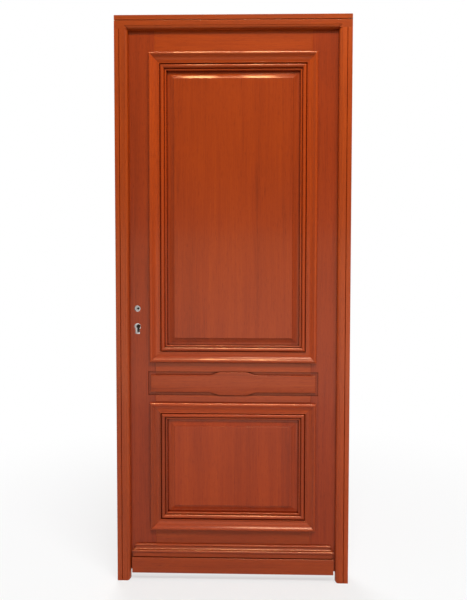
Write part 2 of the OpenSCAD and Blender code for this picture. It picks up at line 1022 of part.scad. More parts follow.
module frame_hinge_screws() {
  color(steel)
    for (z = hinge_heights)
      wing_screw_places(z) screw();
}

module leaf_hinge_screws() {
  color(steel)
    for (z = hinge_heights)
      across_pin() wing_screw_places(z) screw();
}

// Lock

// A round hole along X at the lock's mid plane
module along_x_hole(x0, x1, r, z) {
  translate([x0, leaf_mid, z]) rotate([0, 90, 0]) cylinder(r = r, h = x1 - x0);
}

// Outline of the profile cylinder's hole, drawn out by clear
module profile_hole(clear) {
  z = hub_z - cylinder_drop;
  translate([hub_x, z]) circle(profile_r + clear);
  translate([hub_x - profile_w / 2 - clear, z + profile_r - profile_h - clear])
    square([profile_w + 2 * clear, profile_h - profile_r + clear]);
}

module face_screw_places() {
  for (z = concat([face_z0 + face_screw_drop, face_z1 - face_screw_drop], lock_screws, bolt_screws))
    translate([edge_x, leaf_mid, z]) facing_x(-1) children();
}

// Opening for a bolt of thickness inner_t and height h, through x0 to x1
module bolt_mouth(x0, x1, z, h, play) {
  box(
    x0, x1, leaf_mid - inner_t / 2 - play, leaf_mid + inner_t / 2 + play,
    z - h / 2 - play, z + h / 2 + play
  );
}

module face_plate() {
  color(zinc)
    difference() {
      round_bar(edge_x, face_x, face_w, face_z0, face_z1);
      bolt_mouth(edge_x - cut, face_x + cut, latch_z, latch_h + 2 * slide_play, 0);
      bolt_mouth(edge_x - cut, face_x + cut, deadbolt_z, deadbolt_h + 2 * slide_play, 0);
      for (z = round_bolts)
        along_x_hole(edge_x - cut, face_x + cut, bolt_r + slide_play, z);
      face_screw_places() screw_blank(screw_play);
    }
}

module face_plate_screws() {
  color(steel) face_screw_places() screw();
}

// Ways through the case for the hub, the cylinder and the rods
module case_ways() {
  along_y(leaf_mid - case_t, leaf_mid + case_t) {
    translate([hub_x, hub_z]) circle(hub_r + hub_play);
    profile_hole(0);
  }
  box(
    face_x - cut, rod_x + rod_t + slide_play, leaf_mid - inner_t / 2, leaf_mid + inner_t / 2,
    case_z0 - cut, case_z1 + cut
  );
}

module lock_case() {
  color(zinc)
    difference() {
      box(
        face_x, face_x + case_l, leaf_mid - case_t / 2, leaf_mid + inner_t / 2,
        case_z0, case_z1
      );
      box(
        face_x - cut, face_x + case_l - case_wall, leaf_mid - inner_t / 2, leaf_mid + case_t,
        case_z0 + case_wall, case_z1 - case_wall
      );
      case_ways();
    }
}

module lock_cover() {
  color(zinc)
    difference() {
      box(
        face_x, face_x + case_l, leaf_mid + inner_t / 2, leaf_mid + case_t / 2,
        case_z0, case_z1
      );
      case_ways();
    }
}

// The hub, turned so that it holds the latch back
module spindle_hub() {
  color(zinc)
    difference() {
      union() {
        along_y(leaf_mid - case_t / 2, leaf_mid + case_t / 2)
          translate([hub_x, hub_z]) circle(hub_r);
        along_y(leaf_mid - inner_t / 2 + disc_play, leaf_mid + inner_t / 2 - disc_play)
          translate([hub_x, hub_z]) circle(hub_disc_r);
        along_y(leaf_mid - tail_t / 2, leaf_mid + tail_t / 2)
          translate([hub_x, hub_z]) rotate(-hub_turn / 2) {
            translate([-arm_r, 0]) square([2 * arm_r, arm_reach]);
            translate([0, arm_reach]) circle(arm_r);
          }
      }
      along_y(leaf_mid - case_t, leaf_mid + case_t)
        translate([hub_x, hub_z]) rotate(-hub_turn) square(spindle_side, center = true);
    }
}

module latch_bolt() {
  x0 = edge_x + nose_inset;
  half = inner_t / 2 - slide_play;
  color(zinc) {
    along_z(latch_z - latch_h / 2, latch_z + latch_h / 2)
      polygon([
        [x0 + latch_l, leaf_mid - half], [x0 + latch_l, leaf_mid + half], [x0, leaf_mid + half],
        [x0, leaf_mid + half / 2], [x0 + latch_slope * half, leaf_mid - half]
      ]);
    box(
      x0 + latch_l - cut, tab_x + tab_w, leaf_mid - tail_t / 2, leaf_mid + tail_t / 2,
      tail_z0, tail_z0 + tail_h
    );
    box(
      tab_x, tab_x + tab_w, leaf_mid - tail_t / 2, leaf_mid + tail_t / 2,
      hub_z + arm_reach + arm_r - tab_bite, tail_z0 + cut
    );
  }
}

module deadbolt() {
  x0 = edge_x + nose_inset;
  color(zinc)
    bolt_mouth(x0, x0 + deadbolt_l, deadbolt_z, deadbolt_h + 2 * slide_play, -slide_play);
}

function bolt_height(side) = side > 0 ? round_bolts[1] : round_bolts[0];

// Turns what is drawn for the upper bolt to the upper (1) or lower (-1) one, at its height
module at_bolt(side) {
  translate([0, 0, bolt_height(side)]) mirror([0, 0, side < 0 ? 1 : 0]) children();
}

// Body of a round bolt's case, drawn in by wall
module bolt_case_block(side, wall) {
  at_bolt(side)
    box(
      face_x - (wall > 0 ? cut : 0), face_x + bolt_case_l - wall,
      leaf_mid - case_t / 2 + wall, leaf_mid + case_t / 2 - wall,
      -bolt_case_low + wall, bolt_case_high - wall
    );
}

module bolt_case(side) {
  color(zinc)
    difference() {
      bolt_case_block(side, 0);
      bolt_case_block(side, case_wall);
      at_bolt(side)
        box(
          face_x - cut, rod_x + rod_t + slide_play,
          leaf_mid - inner_t / 2, leaf_mid + inner_t / 2, -bolt_case_low - cut, 0
        );
    }
}

module upper_bolt_case() {
  bolt_case(1);
}

module lower_bolt_case() {
  bolt_case(-1);
}

// A round bolt with a sloped slot in its tail, which the rod's pin pushes along
module round_bolt(side) {
  x0 = edge_x + nose_inset;
  slot_r = drive_pin_r + drive_play;
  color(zinc)
    at_bolt(side)
      difference() {
        union() {
          along_x_hole(x0, bolt_tail_x + cut, bolt_r, 0);
          box(
            bolt_tail_x, bolt_tail_x + bolt_tail, bolt_tail_y, bolt_tail_y + bolt_tail_t,
            -bolt_tail_h / 2, bolt_tail_h / 2
          );
        }
        along_y(leaf_mid - case_t, leaf_mid + case_t)
          translate([slot_x, -bolt_travel / 2]) rotate(45) {
            circle(slot_r);
            translate([0, -slot_r]) square([bolt_travel * sqrt(2), 2 * slot_r]);
            translate([bolt_travel * sqrt(2), 0]) circle(slot_r);
          }
      }
}

module upper_bolt() {
  round_bolt(1);
}

module lower_bolt() {
  round_bolt(-1);
}

// A rod from the lock to a round bolt, with the pin that drives it
// It starts at lock_end and has slots that clear the face plate's screws
module rod(side, lock_end, screws) {
  bolt_z = bolt_height(side);
  arm_high = -bolt_travel / 2 + arm_rise;
  slot_half = screw_r + drive_play;
  color(steel)
    at_bolt(side) {
      difference() {
        box(
          rod_x, rod_x + rod_t, leaf_mid - rod_w / 2 + drive_play, leaf_mid + rod_w / 2 - drive_play,
          -abs(bolt_z - lock_end), arm_w - arm_low
        );
        for (z = screws)
          box(
            rod_x - cut, rod_x + rod_t + cut, leaf_mid - slot_half, leaf_mid + slot_half,
            -abs(bolt_z - z) - bolt_travel - slot_half, -abs(bolt_z - z) + slot_half
          );
      }
      box(rod_x, slot_x + arm_w / 2, drive_y, drive_y + drive_t, -arm_low, arm_w - arm_low);
      box(slot_x - arm_w / 2, slot_x + arm_w / 2, drive_y, drive_y + drive_t, -arm_low, arm_high);
      along_y(bolt_tail_y + slide_play, drive_y + cut)
        translate([slot_x, -bolt_travel / 2]) circle(drive_pin_r);
    }
}

module upper_rod() {
  rod(1, rod_upper_end, [lock_screws[1], bolt_screws[1]]);
}

module lower_rod() {
  rod(-1, rod_lower_end, [lock_screws[0], bolt_screws[0]]);
}

// Strike plates

module main_strike_blank() {
  box(
    strike_x - strike_t, strike_x, leaf_mid - strike_w / 2, leaf_mid + strike_w / 2,
    main_strike_z0, main_strike_z1
  );
}

// Pockets in the jamb's core behind the strike plates, right through it
module bolt_pockets() {
  play = strike_hole_play + pocket_play;
  bolts = concat(
    [[latch_z, latch_h], [deadbolt_z, deadbolt_h]],
    [for (z = round_bolts) [z, 2 * bolt_r]]
  );
  for (bolt = bolts)
    box(
      -half_w - cut, strike_x + cut, core_y0 - cut, core_y1 + cut,
      bolt[0] - bolt[1] / 2 - play, bolt[0] + bolt[1] / 2 + play
    );
}

module main_strike() {
  color(zinc)
    difference() {
      main_strike_blank();
      for (bolt = [[latch_z, latch_h], [deadbolt_z, deadbolt_h]])
        bolt_mouth(strike_x - strike_t - cut, strike_x + cut, bolt[0], bolt[1], strike_hole_play);
      strike_screw_places() screw_blank(screw_play);
    }
}

module round_strike_blank(z) {
  box(
    strike_x - strike_t, strike_x, leaf_mid - strike_w / 2, leaf_mid + strike_w / 2,
    z - round_strike_h / 2, z + round_strike_h / 2
  );
}

module round_strike(z) {
  color(zinc)
    difference() {
      round_strike_blank(z);
      along_x_hole(strike_x - strike_t - cut, strike_x + cut, bolt_r + strike_hole_play, z);
      strike_screw_places() screw_blank(screw_play);
    }
}

module lower_strike() {
  round_strike(round_bolts[0]);
}

module upper_strike() {
  round_strike(round_bolts[1]);
}

module strike_screw_places() {
  places = concat(
    [main_strike_z0 + strike_screw_drop, main_strike_z1 - strike_screw_drop],
    [for (z = round_bolts, side = [-1, 1]) z + side * (round_strike_h / 2 - strike_screw_drop)]
  );
  for (z = places)
    translate([strike_x, leaf_mid, z]) facing_x(1) children();
}

module strike_screws() {
  color(steel) strike_screw_places() screw();
}

left_jamb();
left_jamb_core();
left_jamb_back();
right_jamb();
right_jamb_core();
right_jamb_back();
head();
left_seal();
right_seal();
head_seal();
main_strike();
upper_strike();
lower_strike();
strike_screws();
hinge_fixed(0);  // hinge_1_fixed
hinge_fixed(1);  // hinge_2_fixed
hinge_fixed(2);  // hinge_3_fixed
hinge_fixed(3);  // hinge_4_fixed
hinge_pins();
hinge_rings();
frame_hinge_screws();
lock_stile();
hinge_stile();
top_rail();
middle_rail();
bottom_rail();
upper_moulding_left();
upper_moulding_right();
upper_moulding_top();
upper_moulding_bottom();
lower_moulding_left();
lower_moulding_right();
lower_moulding_top();
lower_moulding_bottom();
upper_panel();
lower_panel();
middle_table();
plinth();
hinge_moving(0);  // hinge_1_moving
hinge_moving(1);  // hinge_2_moving
hinge_moving(2);  // hinge_3_moving
hinge_moving(3);  // hinge_4_moving
leaf_hinge_screws();
face_plate();
face_plate_screws();
lock_case();
lock_cover();
upper_bolt_case();
lower_bolt_case();
spindle_hub();
latch_bolt();
deadbolt();
upper_rod();
lower_rod();
upper_bolt();
lower_bolt();
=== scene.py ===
"""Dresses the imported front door: varnished wood, seals, screws, metal and its studio."""

import math
from functools import cache

import bmesh
import bpy
from bpy.props import FloatProperty, FloatVectorProperty, IntProperty, PointerProperty
from mathutils import Matrix, Vector


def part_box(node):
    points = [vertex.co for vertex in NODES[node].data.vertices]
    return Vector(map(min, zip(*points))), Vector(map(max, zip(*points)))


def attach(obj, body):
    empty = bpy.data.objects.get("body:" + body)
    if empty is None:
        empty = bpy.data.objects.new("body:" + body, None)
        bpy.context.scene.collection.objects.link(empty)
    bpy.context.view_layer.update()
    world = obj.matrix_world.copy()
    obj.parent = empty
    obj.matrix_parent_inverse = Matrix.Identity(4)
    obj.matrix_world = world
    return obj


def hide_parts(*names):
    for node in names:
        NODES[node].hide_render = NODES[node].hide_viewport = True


bl_info = {
    "name": "Panelled Front Door",
    "version": (1, 0, 0),
    "blender": (4, 5, 0),
    "location": "View3D > Sidebar > Front Door",
    "description": "Finishes a panelled front door in its frame and sets up its studio",
    "category": "Object",
}

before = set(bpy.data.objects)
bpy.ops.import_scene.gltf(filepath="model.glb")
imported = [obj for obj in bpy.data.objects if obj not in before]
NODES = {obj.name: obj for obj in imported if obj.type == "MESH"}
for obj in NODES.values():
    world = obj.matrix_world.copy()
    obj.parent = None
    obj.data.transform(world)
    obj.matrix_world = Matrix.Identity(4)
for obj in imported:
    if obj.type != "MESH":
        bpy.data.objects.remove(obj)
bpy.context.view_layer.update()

JAMBS = [
    "left_jamb", "left_jamb_core", "left_jamb_back",
    "right_jamb", "right_jamb_core", "right_jamb_back",
]
STILES = ["lock_stile", "hinge_stile"]
RAILS = ["top_rail", "middle_rail", "bottom_rail"]
UPRIGHT_BARS = [
    "upper_moulding_left", "upper_moulding_right",
    "lower_moulding_left", "lower_moulding_right",
]
LEVEL_BARS = [
    "upper_moulding_top", "upper_moulding_bottom",
    "lower_moulding_top", "lower_moulding_bottom",
]
PANELS = ["upper_panel", "lower_panel"]
SEALS = ["left_seal", "head_seal", "right_seal"]
HINGES = ["hinge_%d_%s" % (i, half) for i in range(1, 5) for half in ("fixed", "moving")]
STRIKES = ["main_strike", "upper_strike", "lower_strike"]
LOCK_CASES = ["lock_case", "lock_cover", "upper_bolt_case", "lower_bolt_case"]
BOLTS = ["latch_bolt", "deadbolt", "upper_bolt", "lower_bolt"]
RODS = ["upper_rod", "lower_rod"]
# How much lighter or darker than its kind each board is: partly its own tone, partly painted
# light and shade where light falls differently on it
BOARD_TONES_AND_LIGHT = {
    "left_jamb": 0.97, "right_jamb": 1.08, "right_jamb_core": 1.05, "head": 0.91,
    "hinge_stile": 1.07, "top_rail": 1.15, "middle_rail": 1.10, "bottom_rail": 0.96,
    "upper_moulding_left": 1.07, "upper_moulding_right": 1.08,
    "upper_moulding_top": 0.86, "upper_moulding_bottom": 0.98,
    "lower_moulding_left": 0.75, "lower_moulding_right": 0.93, "lower_moulding_top": 1.12,
    "upper_panel": 0.97, "lower_panel": 1.07, "middle_table": 1.05, "plinth": 1.04,
}
# First grain seed of each kind of board, so that no two boards look alike
SEEDS = {
    "jambs": 1, "head": 7, "stiles": 11, "rails": 14, "upright_bars": 21, "level_bars": 26,
    "panels": 31, "plinth": 34, "table": 35,
}
# Step of the grain's offset from one seed to the next, and where it starts over, in metres
OFFSET_STEP = (0.371, 0.533, 0.917)
OFFSET_CYCLE = (1.7, 1.3, 2.9)
# Patterns in the wood: repeats per metre, twice across the grain and once along it
SWAY_SCALE = (5, 5, 0.9)
RIBBON_SCALE = (42, 42, 0.8)
FIBRE_SCALE = (300, 300, 5)
CLOUD_SCALE = (5, 5, 2.2)
PORE_SCALE = (1100, 1100, 34)
PEEL_SCALE = (260, 260, 260)
# How far the grain sways, in metres
SWAY_REACH = (0.03, 0.03, 0)
# Share of each pattern in the light and dark of the wood
RIBBON_SHARE, FIBRE_SHARE, CLOUD_SHARE, BOARD_SHARE = 0.8, 1.1, 0.55, 0.09
# Places of the dark, middle and light tone along the grain's range
GRAIN_STOPS = (0.12, 0.5, 0.88)
# What a board's tone is multiplied by in its dark grain, light grain, pores and painted shade in
# hollows
DARK_GRAIN = (0.55, 0.46, 0.50)
LIGHT_GRAIN = (1.30, 1.55, 1.60)
PORE_STAIN = (0.28, 0.10, 0.06)
HOLLOW_SHADE_TINT = (0.36, 0.13, 0.08)
# Range of the pore pattern between no pore and a full one
PORE_FADE = (0.58, 0.72)
# How strongly pores, lightened arrises (wear and painted highlight) and painted shade in hollows
# show
PORE_SHOW, WEAR_AND_HIGHLIGHT_SHOW, HOLLOW_SHADE_SHOW = 0.42, 0.45, 0.95
# Painted sheen on the lower door: its tint, and the heights between which it fades out, in metres
PAINTED_SHEEN_TINT = (0.0, 0.003, 0.006, 1)
LOWER_SHEEN_FADE = (0.55, 1.75)
# Lightened arrises (wear and painted highlight) and painted shade in hollows: rays for each point,
# reach in metres, and the openness between which they fade
CORNER_RAYS = 8
WEAR_AND_HIGHLIGHT_REACH = 0.0025
WEAR_AND_HIGHLIGHT_FADE = (0.45, 0.95)
HOLLOW_SHADE_REACH = 0.009
HOLLOW_SHADE_FADE = (0.46, 0.94)
# What each pattern adds to the varnish's roughness
FIBRE_ROUGH, PORE_ROUGH, CLOUD_ROUGH, WORN_ROUGH = 0.08, 0.10, 0.05, 0.05
# Clear coat over the varnish: everywhere, and added low down with the painted sheen
COAT_PLAIN, COAT_LOWER_SHEEN = 0.08, 0.13
# Relief of the varnish's skin, of pores and of fibres
PEEL_HEIGHT, PORE_DEPTH, FIBRE_DEPTH = 0.25, 0.3, 0.2
# Distance from the spindle down to the lock cylinder, in metres
CYLINDER_DROP = 0.070
# Painted shade on the wood behind the lock's holes, so that they look dark: its radius, how far
# before the hub's end it starts and where along Y it stops, each over a short fade in metres
HOLE_RADIUS = (0.021, 0.025)
HOLE_START = (0.012, 0.008)
HOLE_STOP = (0.026, 0.030)
HOLE_PAINTED_SHADE = (0.001, 0.001, 0.001, 1)
# Brush lines in metal: repeats per metre along and across them, and what they add to roughness
BRUSH_ALONG, BRUSH_ACROSS = 30, 2600
BRUSH_ROUGH = 0.20
# Dull patches in metal: repeats per metre, range, strength, share of the colour, and roughness
DULL_SCALE = (60, 60, 60)
DULL_FADE = (0.45, 0.75)
DULL_SHOW, DULL_SHARE, DULL_ROUGH = 0.35, 0.78, 0.10
# Painted shade in the metal's hollows: reach in metres, openness, strength and share of the colour
METAL_SHADE_REACH = 0.012
METAL_SHADE_FADE = (0.25, 0.80)
METAL_SHADE_SHOW, METAL_SHADE_SHARE = 0.96, 0.02
# The hub is this share as bright as the lock's plates
HUB_SHARE = 0.6
# Rubber: repeats per metre of its skin and its dust, and the dust's range and strength
SKIN_SCALE = (900, 900, 900)
DUST_SCALE = (25, 25, 4)
DUST_FADE = (0.5, 0.8)
DUST_SHOW = 0.4
# Rubber's roughness, and what its skin adds to it
RUBBER_ROUGH, SKIN_ROUGH = 0.62, 0.2
# What dust makes of the rubber's colour: times the first, plus the second
DUST_GAIN, DUST_LIFT = 2.4, 0.008
# Angles in degrees: faces closer than the first are one flat, edges past the second are eased,
# and edges past the last two stay sharp, on most pieces and on the panels with their flat mitres
FLAT_ANGLE = 0.5
EASED_ANGLE = 38
SHARP_ANGLE = 40
PANEL_SHARP_ANGLE = 26
# Distance in metres within which a node's corners are one
WELD_REACH = 0.00001
# How far the seal's bulb stands out, in metres, and the points in its round and its corners
BULB_HEIGHT = 0.0027
BULB_POINTS, CORNER_POINTS = 17, 6
# Points nearer than this in Y and Z belong to one screw, in metres
SCREW_REACH = 0.009
# Sides of a screw's head and shank, and the slot's length in head radii and depth in shank radii
HEAD_SIDES, SHANK_SIDES = 24, 16
SLOT_REACH, SLOT_DEPTH = 1.15, 1.1
# Points of the table this near to its front are on it, in metres
FRONT_REACH = 0.0001
# Screw nodes, the body each rides on and the side along X that the heads face
SCREWS = {
    "frame_hinge_screws": ("frame", -1),
    "leaf_hinge_screws": ("leaf", 1),
    "face_plate_screws": ("leaf", -1),
    "strike_screws": ("frame", 1),
}
# Lamps: name, place, target, width and height in metres, and the setting that holds their power
SOFT_LAMPS = [
    ("overhead_soft", (1.0, -2.8, 4.7), (0.0, 0.0, 1.0), 3.0, 0.8, "softbox"),
    ("back_soft", (-1.2, 3.0, 4.0), (0.0, 0.0, 1.0), 2.4, 1.0, "back"),
]
GLINT_LAMPS = [
    ("overhead_left", (-0.30, -0.64, 3.2), (-0.10, 0.0, 1.55), 0.18, 0.5, "lamps"),
    ("overhead_right", (0.06, -0.64, 3.2), (0.05, 0.0, 1.55), 0.18, 0.5, "lamps"),
    ("overhead_strip", (0.0, -0.32, 3.4), (0.0, -0.05, 1.0), 2.4, 0.16, "strip"),
]
# Cards stacked in one place, each larger than the last, so that their sheen fades at its edges
CARD_PLACE = (0.1, -3.4, 0.64)
CARD_TARGET = (0.1, 0.0, 0.64)
CARD_SIZES = [(2.3 + 0.2 * i, 0.6 + 0.28 * i) for i in range(6)]
WHITE_LIGHT = (1.0, 1.0, 1.0)
WARM_LIGHT = (1.0, 0.82, 0.50)
WHITE = (1, 1, 1, 1)
# Floor: its radius in metres, its whiteness near the door, and where it turns fully white
FLOOR_RADIUS = 14
FLOOR_WHITENESS = 0.60
FLOOR_FADE = (0.4, 2.6)
# The photograph's framing: sensor width in millimetres, and shift in widths of the frame
SENSOR_WIDTH = 36
CAMERA_SHIFT = (-0.0496, 0.0083)
CAMERA_REACH = 100


# Settings


class WoodSettings(bpy.types.PropertyGroup):
    """Colours and grain of the varnished wood."""

    frame_tone: FloatVectorProperty(
        name="Frame tone", description="Colour of the jambs and the head",
        subtype="COLOR", min=0, max=1, default=(0.355, 0.045, 0.003))
    stile_tone: FloatVectorProperty(
        name="Stile tone", description="Colour of the leaf's stiles",
        subtype="COLOR", min=0, max=1, default=(0.272, 0.028, 0.002))
    rail_tone: FloatVectorProperty(
        name="Rail tone", description="Colour of the leaf's rails",
        subtype="COLOR", min=0, max=1, default=(0.308, 0.037, 0.002))
    moulding_tone: FloatVectorProperty(
        name="Moulding tone", description="Colour of the mouldings",
        subtype="COLOR", min=0, max=1, default=(0.36, 0.040, 0.001))
    panel_tone: FloatVectorProperty(
        name="Panel tone", description="Colour of the panels",
        subtype="COLOR", min=0, max=1, default=(0.320, 0.034, 0.001))
    grain_contrast: FloatProperty(
        name="Grain contrast", description="Strength of the light and dark grain",
        subtype="FACTOR", min=0, max=1, default=0.5)
    gloss: FloatProperty(
        name="Gloss", description="Roughness of the varnish, lower is glossier",
        subtype="FACTOR", min=0.05, max=1, default=0.12)
    board_width: FloatProperty(
        name="Board width", description="Width of the boards that the panels are glued from",
        unit="LENGTH", min=0.02, max=0.5, default=0.093)


class EdgeSettings(bpy.types.PropertyGroup):
    """How far sharp edges are eased."""

    board: FloatProperty(
        name="Boards", description="Easing of the frame's, stiles' and rails' edges",
        unit="LENGTH", min=0.0001, max=0.003, default=0.0004)
    moulding: FloatProperty(
        name="Mouldings", description="Easing of the mouldings', panels' and plinth's edges",
        unit="LENGTH", min=0.0001, max=0.002, default=0.0004)
    table: FloatProperty(
        name="Table", description="Rounding of the middle table's front edge",
        unit="LENGTH", min=0.0005, max=0.006, default=0.0035)
    metal: FloatProperty(
        name="Metal", description="Easing of the hinges' and lock's edges",
        unit="LENGTH", min=0.0001, max=0.001, default=0.00025)


class MetalSettings(bpy.types.PropertyGroup):
    """Colours of the metal and rubber parts."""

    zinc: FloatVectorProperty(
        name="Zinc plate", description="Colour of the lock's zinc plate",
        subtype="COLOR", min=0, max=1, default=(0.66, 0.65, 0.63))
    steel: FloatVectorProperty(
        name="Steel", description="Colour of the hinges, rods and screws",
        subtype="COLOR", min=0, max=1, default=(0.52, 0.52, 0.53))
    brass: FloatVectorProperty(
        name="Brass", description="Colour of the hinges' wear rings",
        subtype="COLOR", min=0, max=1, default=(0.68, 0.45, 0.16))
    rubber: FloatVectorProperty(
        name="Rubber", description="Colour of the seals",
        subtype="COLOR", min=0, max=1, default=(0.022, 0.012, 0.009))


class SealSettings(bpy.types.PropertyGroup):
    """Sizes of the seal in the frame's rebate."""

    width: FloatProperty(
        name="Width", description="Width of the seal's bulb",
        unit="LENGTH", min=0.002, max=0.012, default=0.008)
    corner: FloatProperty(
        name="Corner radius", description="Radius that the seal bends to in the corners",
        unit="LENGTH", min=0.001, max=0.03, default=0.008)


class ScrewSettings(bpy.types.PropertyGroup):
    """Sizes of the countersunk screws."""

    head: FloatProperty(
        name="Head radius", description="Radius of a screw's head",
        unit="LENGTH", min=0.001, max=0.01, default=0.004)
    shank: FloatProperty(
        name="Shank radius", description="Radius of a screw's shank",
        unit="LENGTH", min=0.0005, max=0.005, default=0.002)
    length: FloatProperty(
        name="Length", description="Length of a screw",
        unit="LENGTH", min=0.005, max=0.08, default=0.026)
    slot: FloatProperty(
        name="Slot width", description="Width of the cross slot in a head",
        unit="LENGTH", min=0.0003, max=0.002, default=0.0009)
    seed: IntProperty(
        name="Seed", description="Seed for how far each screw is turned", min=0, default=4)


class StageSettings(bpy.types.PropertyGroup):
    """Floor, light and camera."""

    floor_colour: FloatVectorProperty(
        name="Floor colour", description="Colour of the floor",
        subtype="COLOR", min=0, max=1, default=(0.80, 0.80, 0.80))
    ambient: FloatProperty(
        name="Ambient", description="Strength of the even light from all around",
        min=0, max=2, default=0.31)
    softbox: FloatProperty(
        name="Softbox", description="Power of the broad soft light overhead",
        unit="POWER", min=0, max=1000, default=192)
    back: FloatProperty(
        name="Back softbox", description="Power of the soft light behind the door",
        unit="POWER", min=0, max=1000, default=110)
    lamps: FloatProperty(
        name="Overhead lamps", description="Power of each of the two small overhead lamps",
        unit="POWER", min=0, max=500, default=15)
    strip: FloatProperty(
        name="Overhead strip",
        description="Power of the long thin light that draws lines along the mouldings",
        unit="POWER", min=0, max=500, default=150)
    fill: FloatProperty(
        name="Front cards",
        description="Power of the soft cards whose sheen shows on the flat faces",
        unit="POWER", min=0, max=1000, default=62)
    camera_place: FloatVectorProperty(
        name="Camera place", description="Where the camera stands",
        subtype="TRANSLATION", unit="LENGTH", default=(0.1655, -2.234, 1.1714))
    camera_yaw: FloatProperty(
        name="Camera yaw", description="Turn of the camera to the right",
        subtype="ANGLE", default=-0.021764)
    camera_pitch: FloatProperty(
        name="Camera pitch", description="Tilt of the camera downward",
        subtype="ANGLE", default=0.040132)
    camera_roll: FloatProperty(
        name="Camera roll", description="Roll of the camera", subtype="ANGLE", default=0.003058)
    lens: FloatProperty(
        name="Lens", description="Focal length in millimetres on a 36 mm sensor",
        min=10, max=200, default=34.546)


# Node trees


class Socket:
    """A value in a node tree. Arithmetic on it adds Math nodes."""

    def __init__(self, tree, socket):
        self.tree = tree
        self.socket = socket

    def math(self, operation, first, second):
        return self.tree.node("ShaderNodeMath", {"operation": operation}, {0: first, 1: second})

    def __add__(self, other):
        return self.math("ADD", self, other)

    def __radd__(self, other):
        return self.math("ADD", other, self)

    def __sub__(self, other):
        return self.math("SUBTRACT", self, other)

    def __rsub__(self, other):
        return self.math("SUBTRACT", other, self)

    def __mul__(self, other):
        return self.math("MULTIPLY", self, other)

    def __rmul__(self, other):
        return self.math("MULTIPLY", other, self)

    def __truediv__(self, other):
        return self.math("DIVIDE", self, other)


class Tree:
    """A node tree and the one method that adds nodes to it."""

    def __init__(self, node_tree):
        self.tree = node_tree
        self.tree.nodes.clear()

    def node(self, kind, settings=None, inputs=None, output=0):
        node = self.tree.nodes.new(kind)
        for name, value in (settings or {}).items():
            if name == "stops":
                ramp = node.color_ramp.elements
                while len(ramp) < len(value):
                    ramp.new(1)
                for stop, (place, colour) in zip(ramp, value):
                    stop.position = place
                    stop.color = (*colour, 1)
            else:
                setattr(node, name, value)
        for key, value in (inputs or {}).items():
            for one in value if isinstance(value, list) else [value]:
                if isinstance(one, Socket):
                    self.tree.links.new(one.socket, node.inputs[key])
                else:
                    node.inputs[key].default_value = one
        return Socket(self, node.outputs[output]) if node.outputs else None


class Finish(Tree):
    """A material with one Principled shader, whose patterns read object coordinates."""

    def __init__(self, name):
        self.material = bpy.data.materials.new(name)
        self.material.use_nodes = True
        super().__init__(self.material.node_tree)
        self.place = self.node("ShaderNodeTexCoord", output="Object")

    def scaled(self, vector, scale):
        return self.node("ShaderNodeVectorMath", {"operation": "MULTIPLY"}, {0: vector, 1: scale})

    def noise(self, vector, scale, detail=2.0, roughness=0.5):
        spread = self.scaled(vector, scale)
        return self.node(
            "ShaderNodeTexNoise", {"normalize": True},
            {"Vector": spread, "Scale": 1.0, "Detail": detail, "Roughness": roughness})

    def between(self, value, low, high):
        """0 below low, 1 above high, and smooth in between."""
        return self.node(
            "ShaderNodeMapRange", {"interpolation_type": "SMOOTHSTEP"},
            {"Value": value, "From Min": low, "From Max": high})

    def mix(self, factor, first, second, blend="MIX"):
        return self.node(
            "ShaderNodeMix", {"data_type": "RGBA", "blend_type": blend, "clamp_result": True},
            {0: factor, 6: first, 7: second}, 2)

    def bump(self, height, distance, strength):
        return self.node(
            "ShaderNodeBump", {}, {"Height": height, "Distance": distance, "Strength": strength})

    def axis(self, vector, letter):
        """One of a vector's three values."""
        return self.node("ShaderNodeSeparateXYZ", {}, {"Vector": vector}, letter)

    def painted_shade(self, distance, low, high, alone):
        """Where shade is painted: 1 deep in corners and gaps, 0 in the open. Alone, a piece's
        neighbours don't count.
        """
        openness = self.node(
            "ShaderNodeAmbientOcclusion", {"samples": CORNER_RAYS, "only_local": alone},
            {"Distance": distance}, "AO")
        return 1 - self.between(openness, low, high)

    def arris(self, distance):
        """1 along a piece's outer edges, 0 away from them."""
        inside = self.node(
            "ShaderNodeAmbientOcclusion",
            {"samples": CORNER_RAYS, "inside": True, "only_local": True},
            {"Distance": distance}, "AO")
        return 1 - self.between(inside, *WEAR_AND_HIGHLIGHT_FADE)

    def shade(self, **inputs):
        named = {key.replace("_", " "): value for key, value in inputs.items()}
        shader = self.node("ShaderNodeBsdfPrincipled", {}, named)
        self.node("ShaderNodeOutputMaterial", {}, {"Surface": shader})
        return self.material


class Shape(Tree):
    """A geometry tree with named inputs."""

    def __init__(self, name, sockets):
        group = bpy.data.node_groups.new(name, "GeometryNodeTree")
        super().__init__(group)
        group.interface.new_socket(
            name="Geometry", in_out="OUTPUT", socket_type="NodeSocketGeometry")
        self.names = {}
        for label, kind in [("Geometry", "NodeSocketGeometry")] + sockets:
            item = group.interface.new_socket(name=label, in_out="INPUT", socket_type=kind)
            self.names[label] = item.identifier
        self.entry = group.nodes.new("NodeGroupInput")

    def input(self, label):
        return Socket(self, self.entry.outputs[label])

    def end(self, geometry):
        self.node("NodeGroupOutput", {}, {"Geometry": geometry})

    def fit(self, obj, values):
        """Adds the tree to obj as a modifier with these inputs."""
        modifier = obj.modifiers.new(self.tree.name, "NODES")
        modifier.node_group = self.tree
        for label, value in values.items():
            modifier[self.names[label]] = value


# Finishes


def stained(tone, share):
    """A tone with each channel taken to its share."""
    return tuple(c * k for c, k in zip(tone, share))


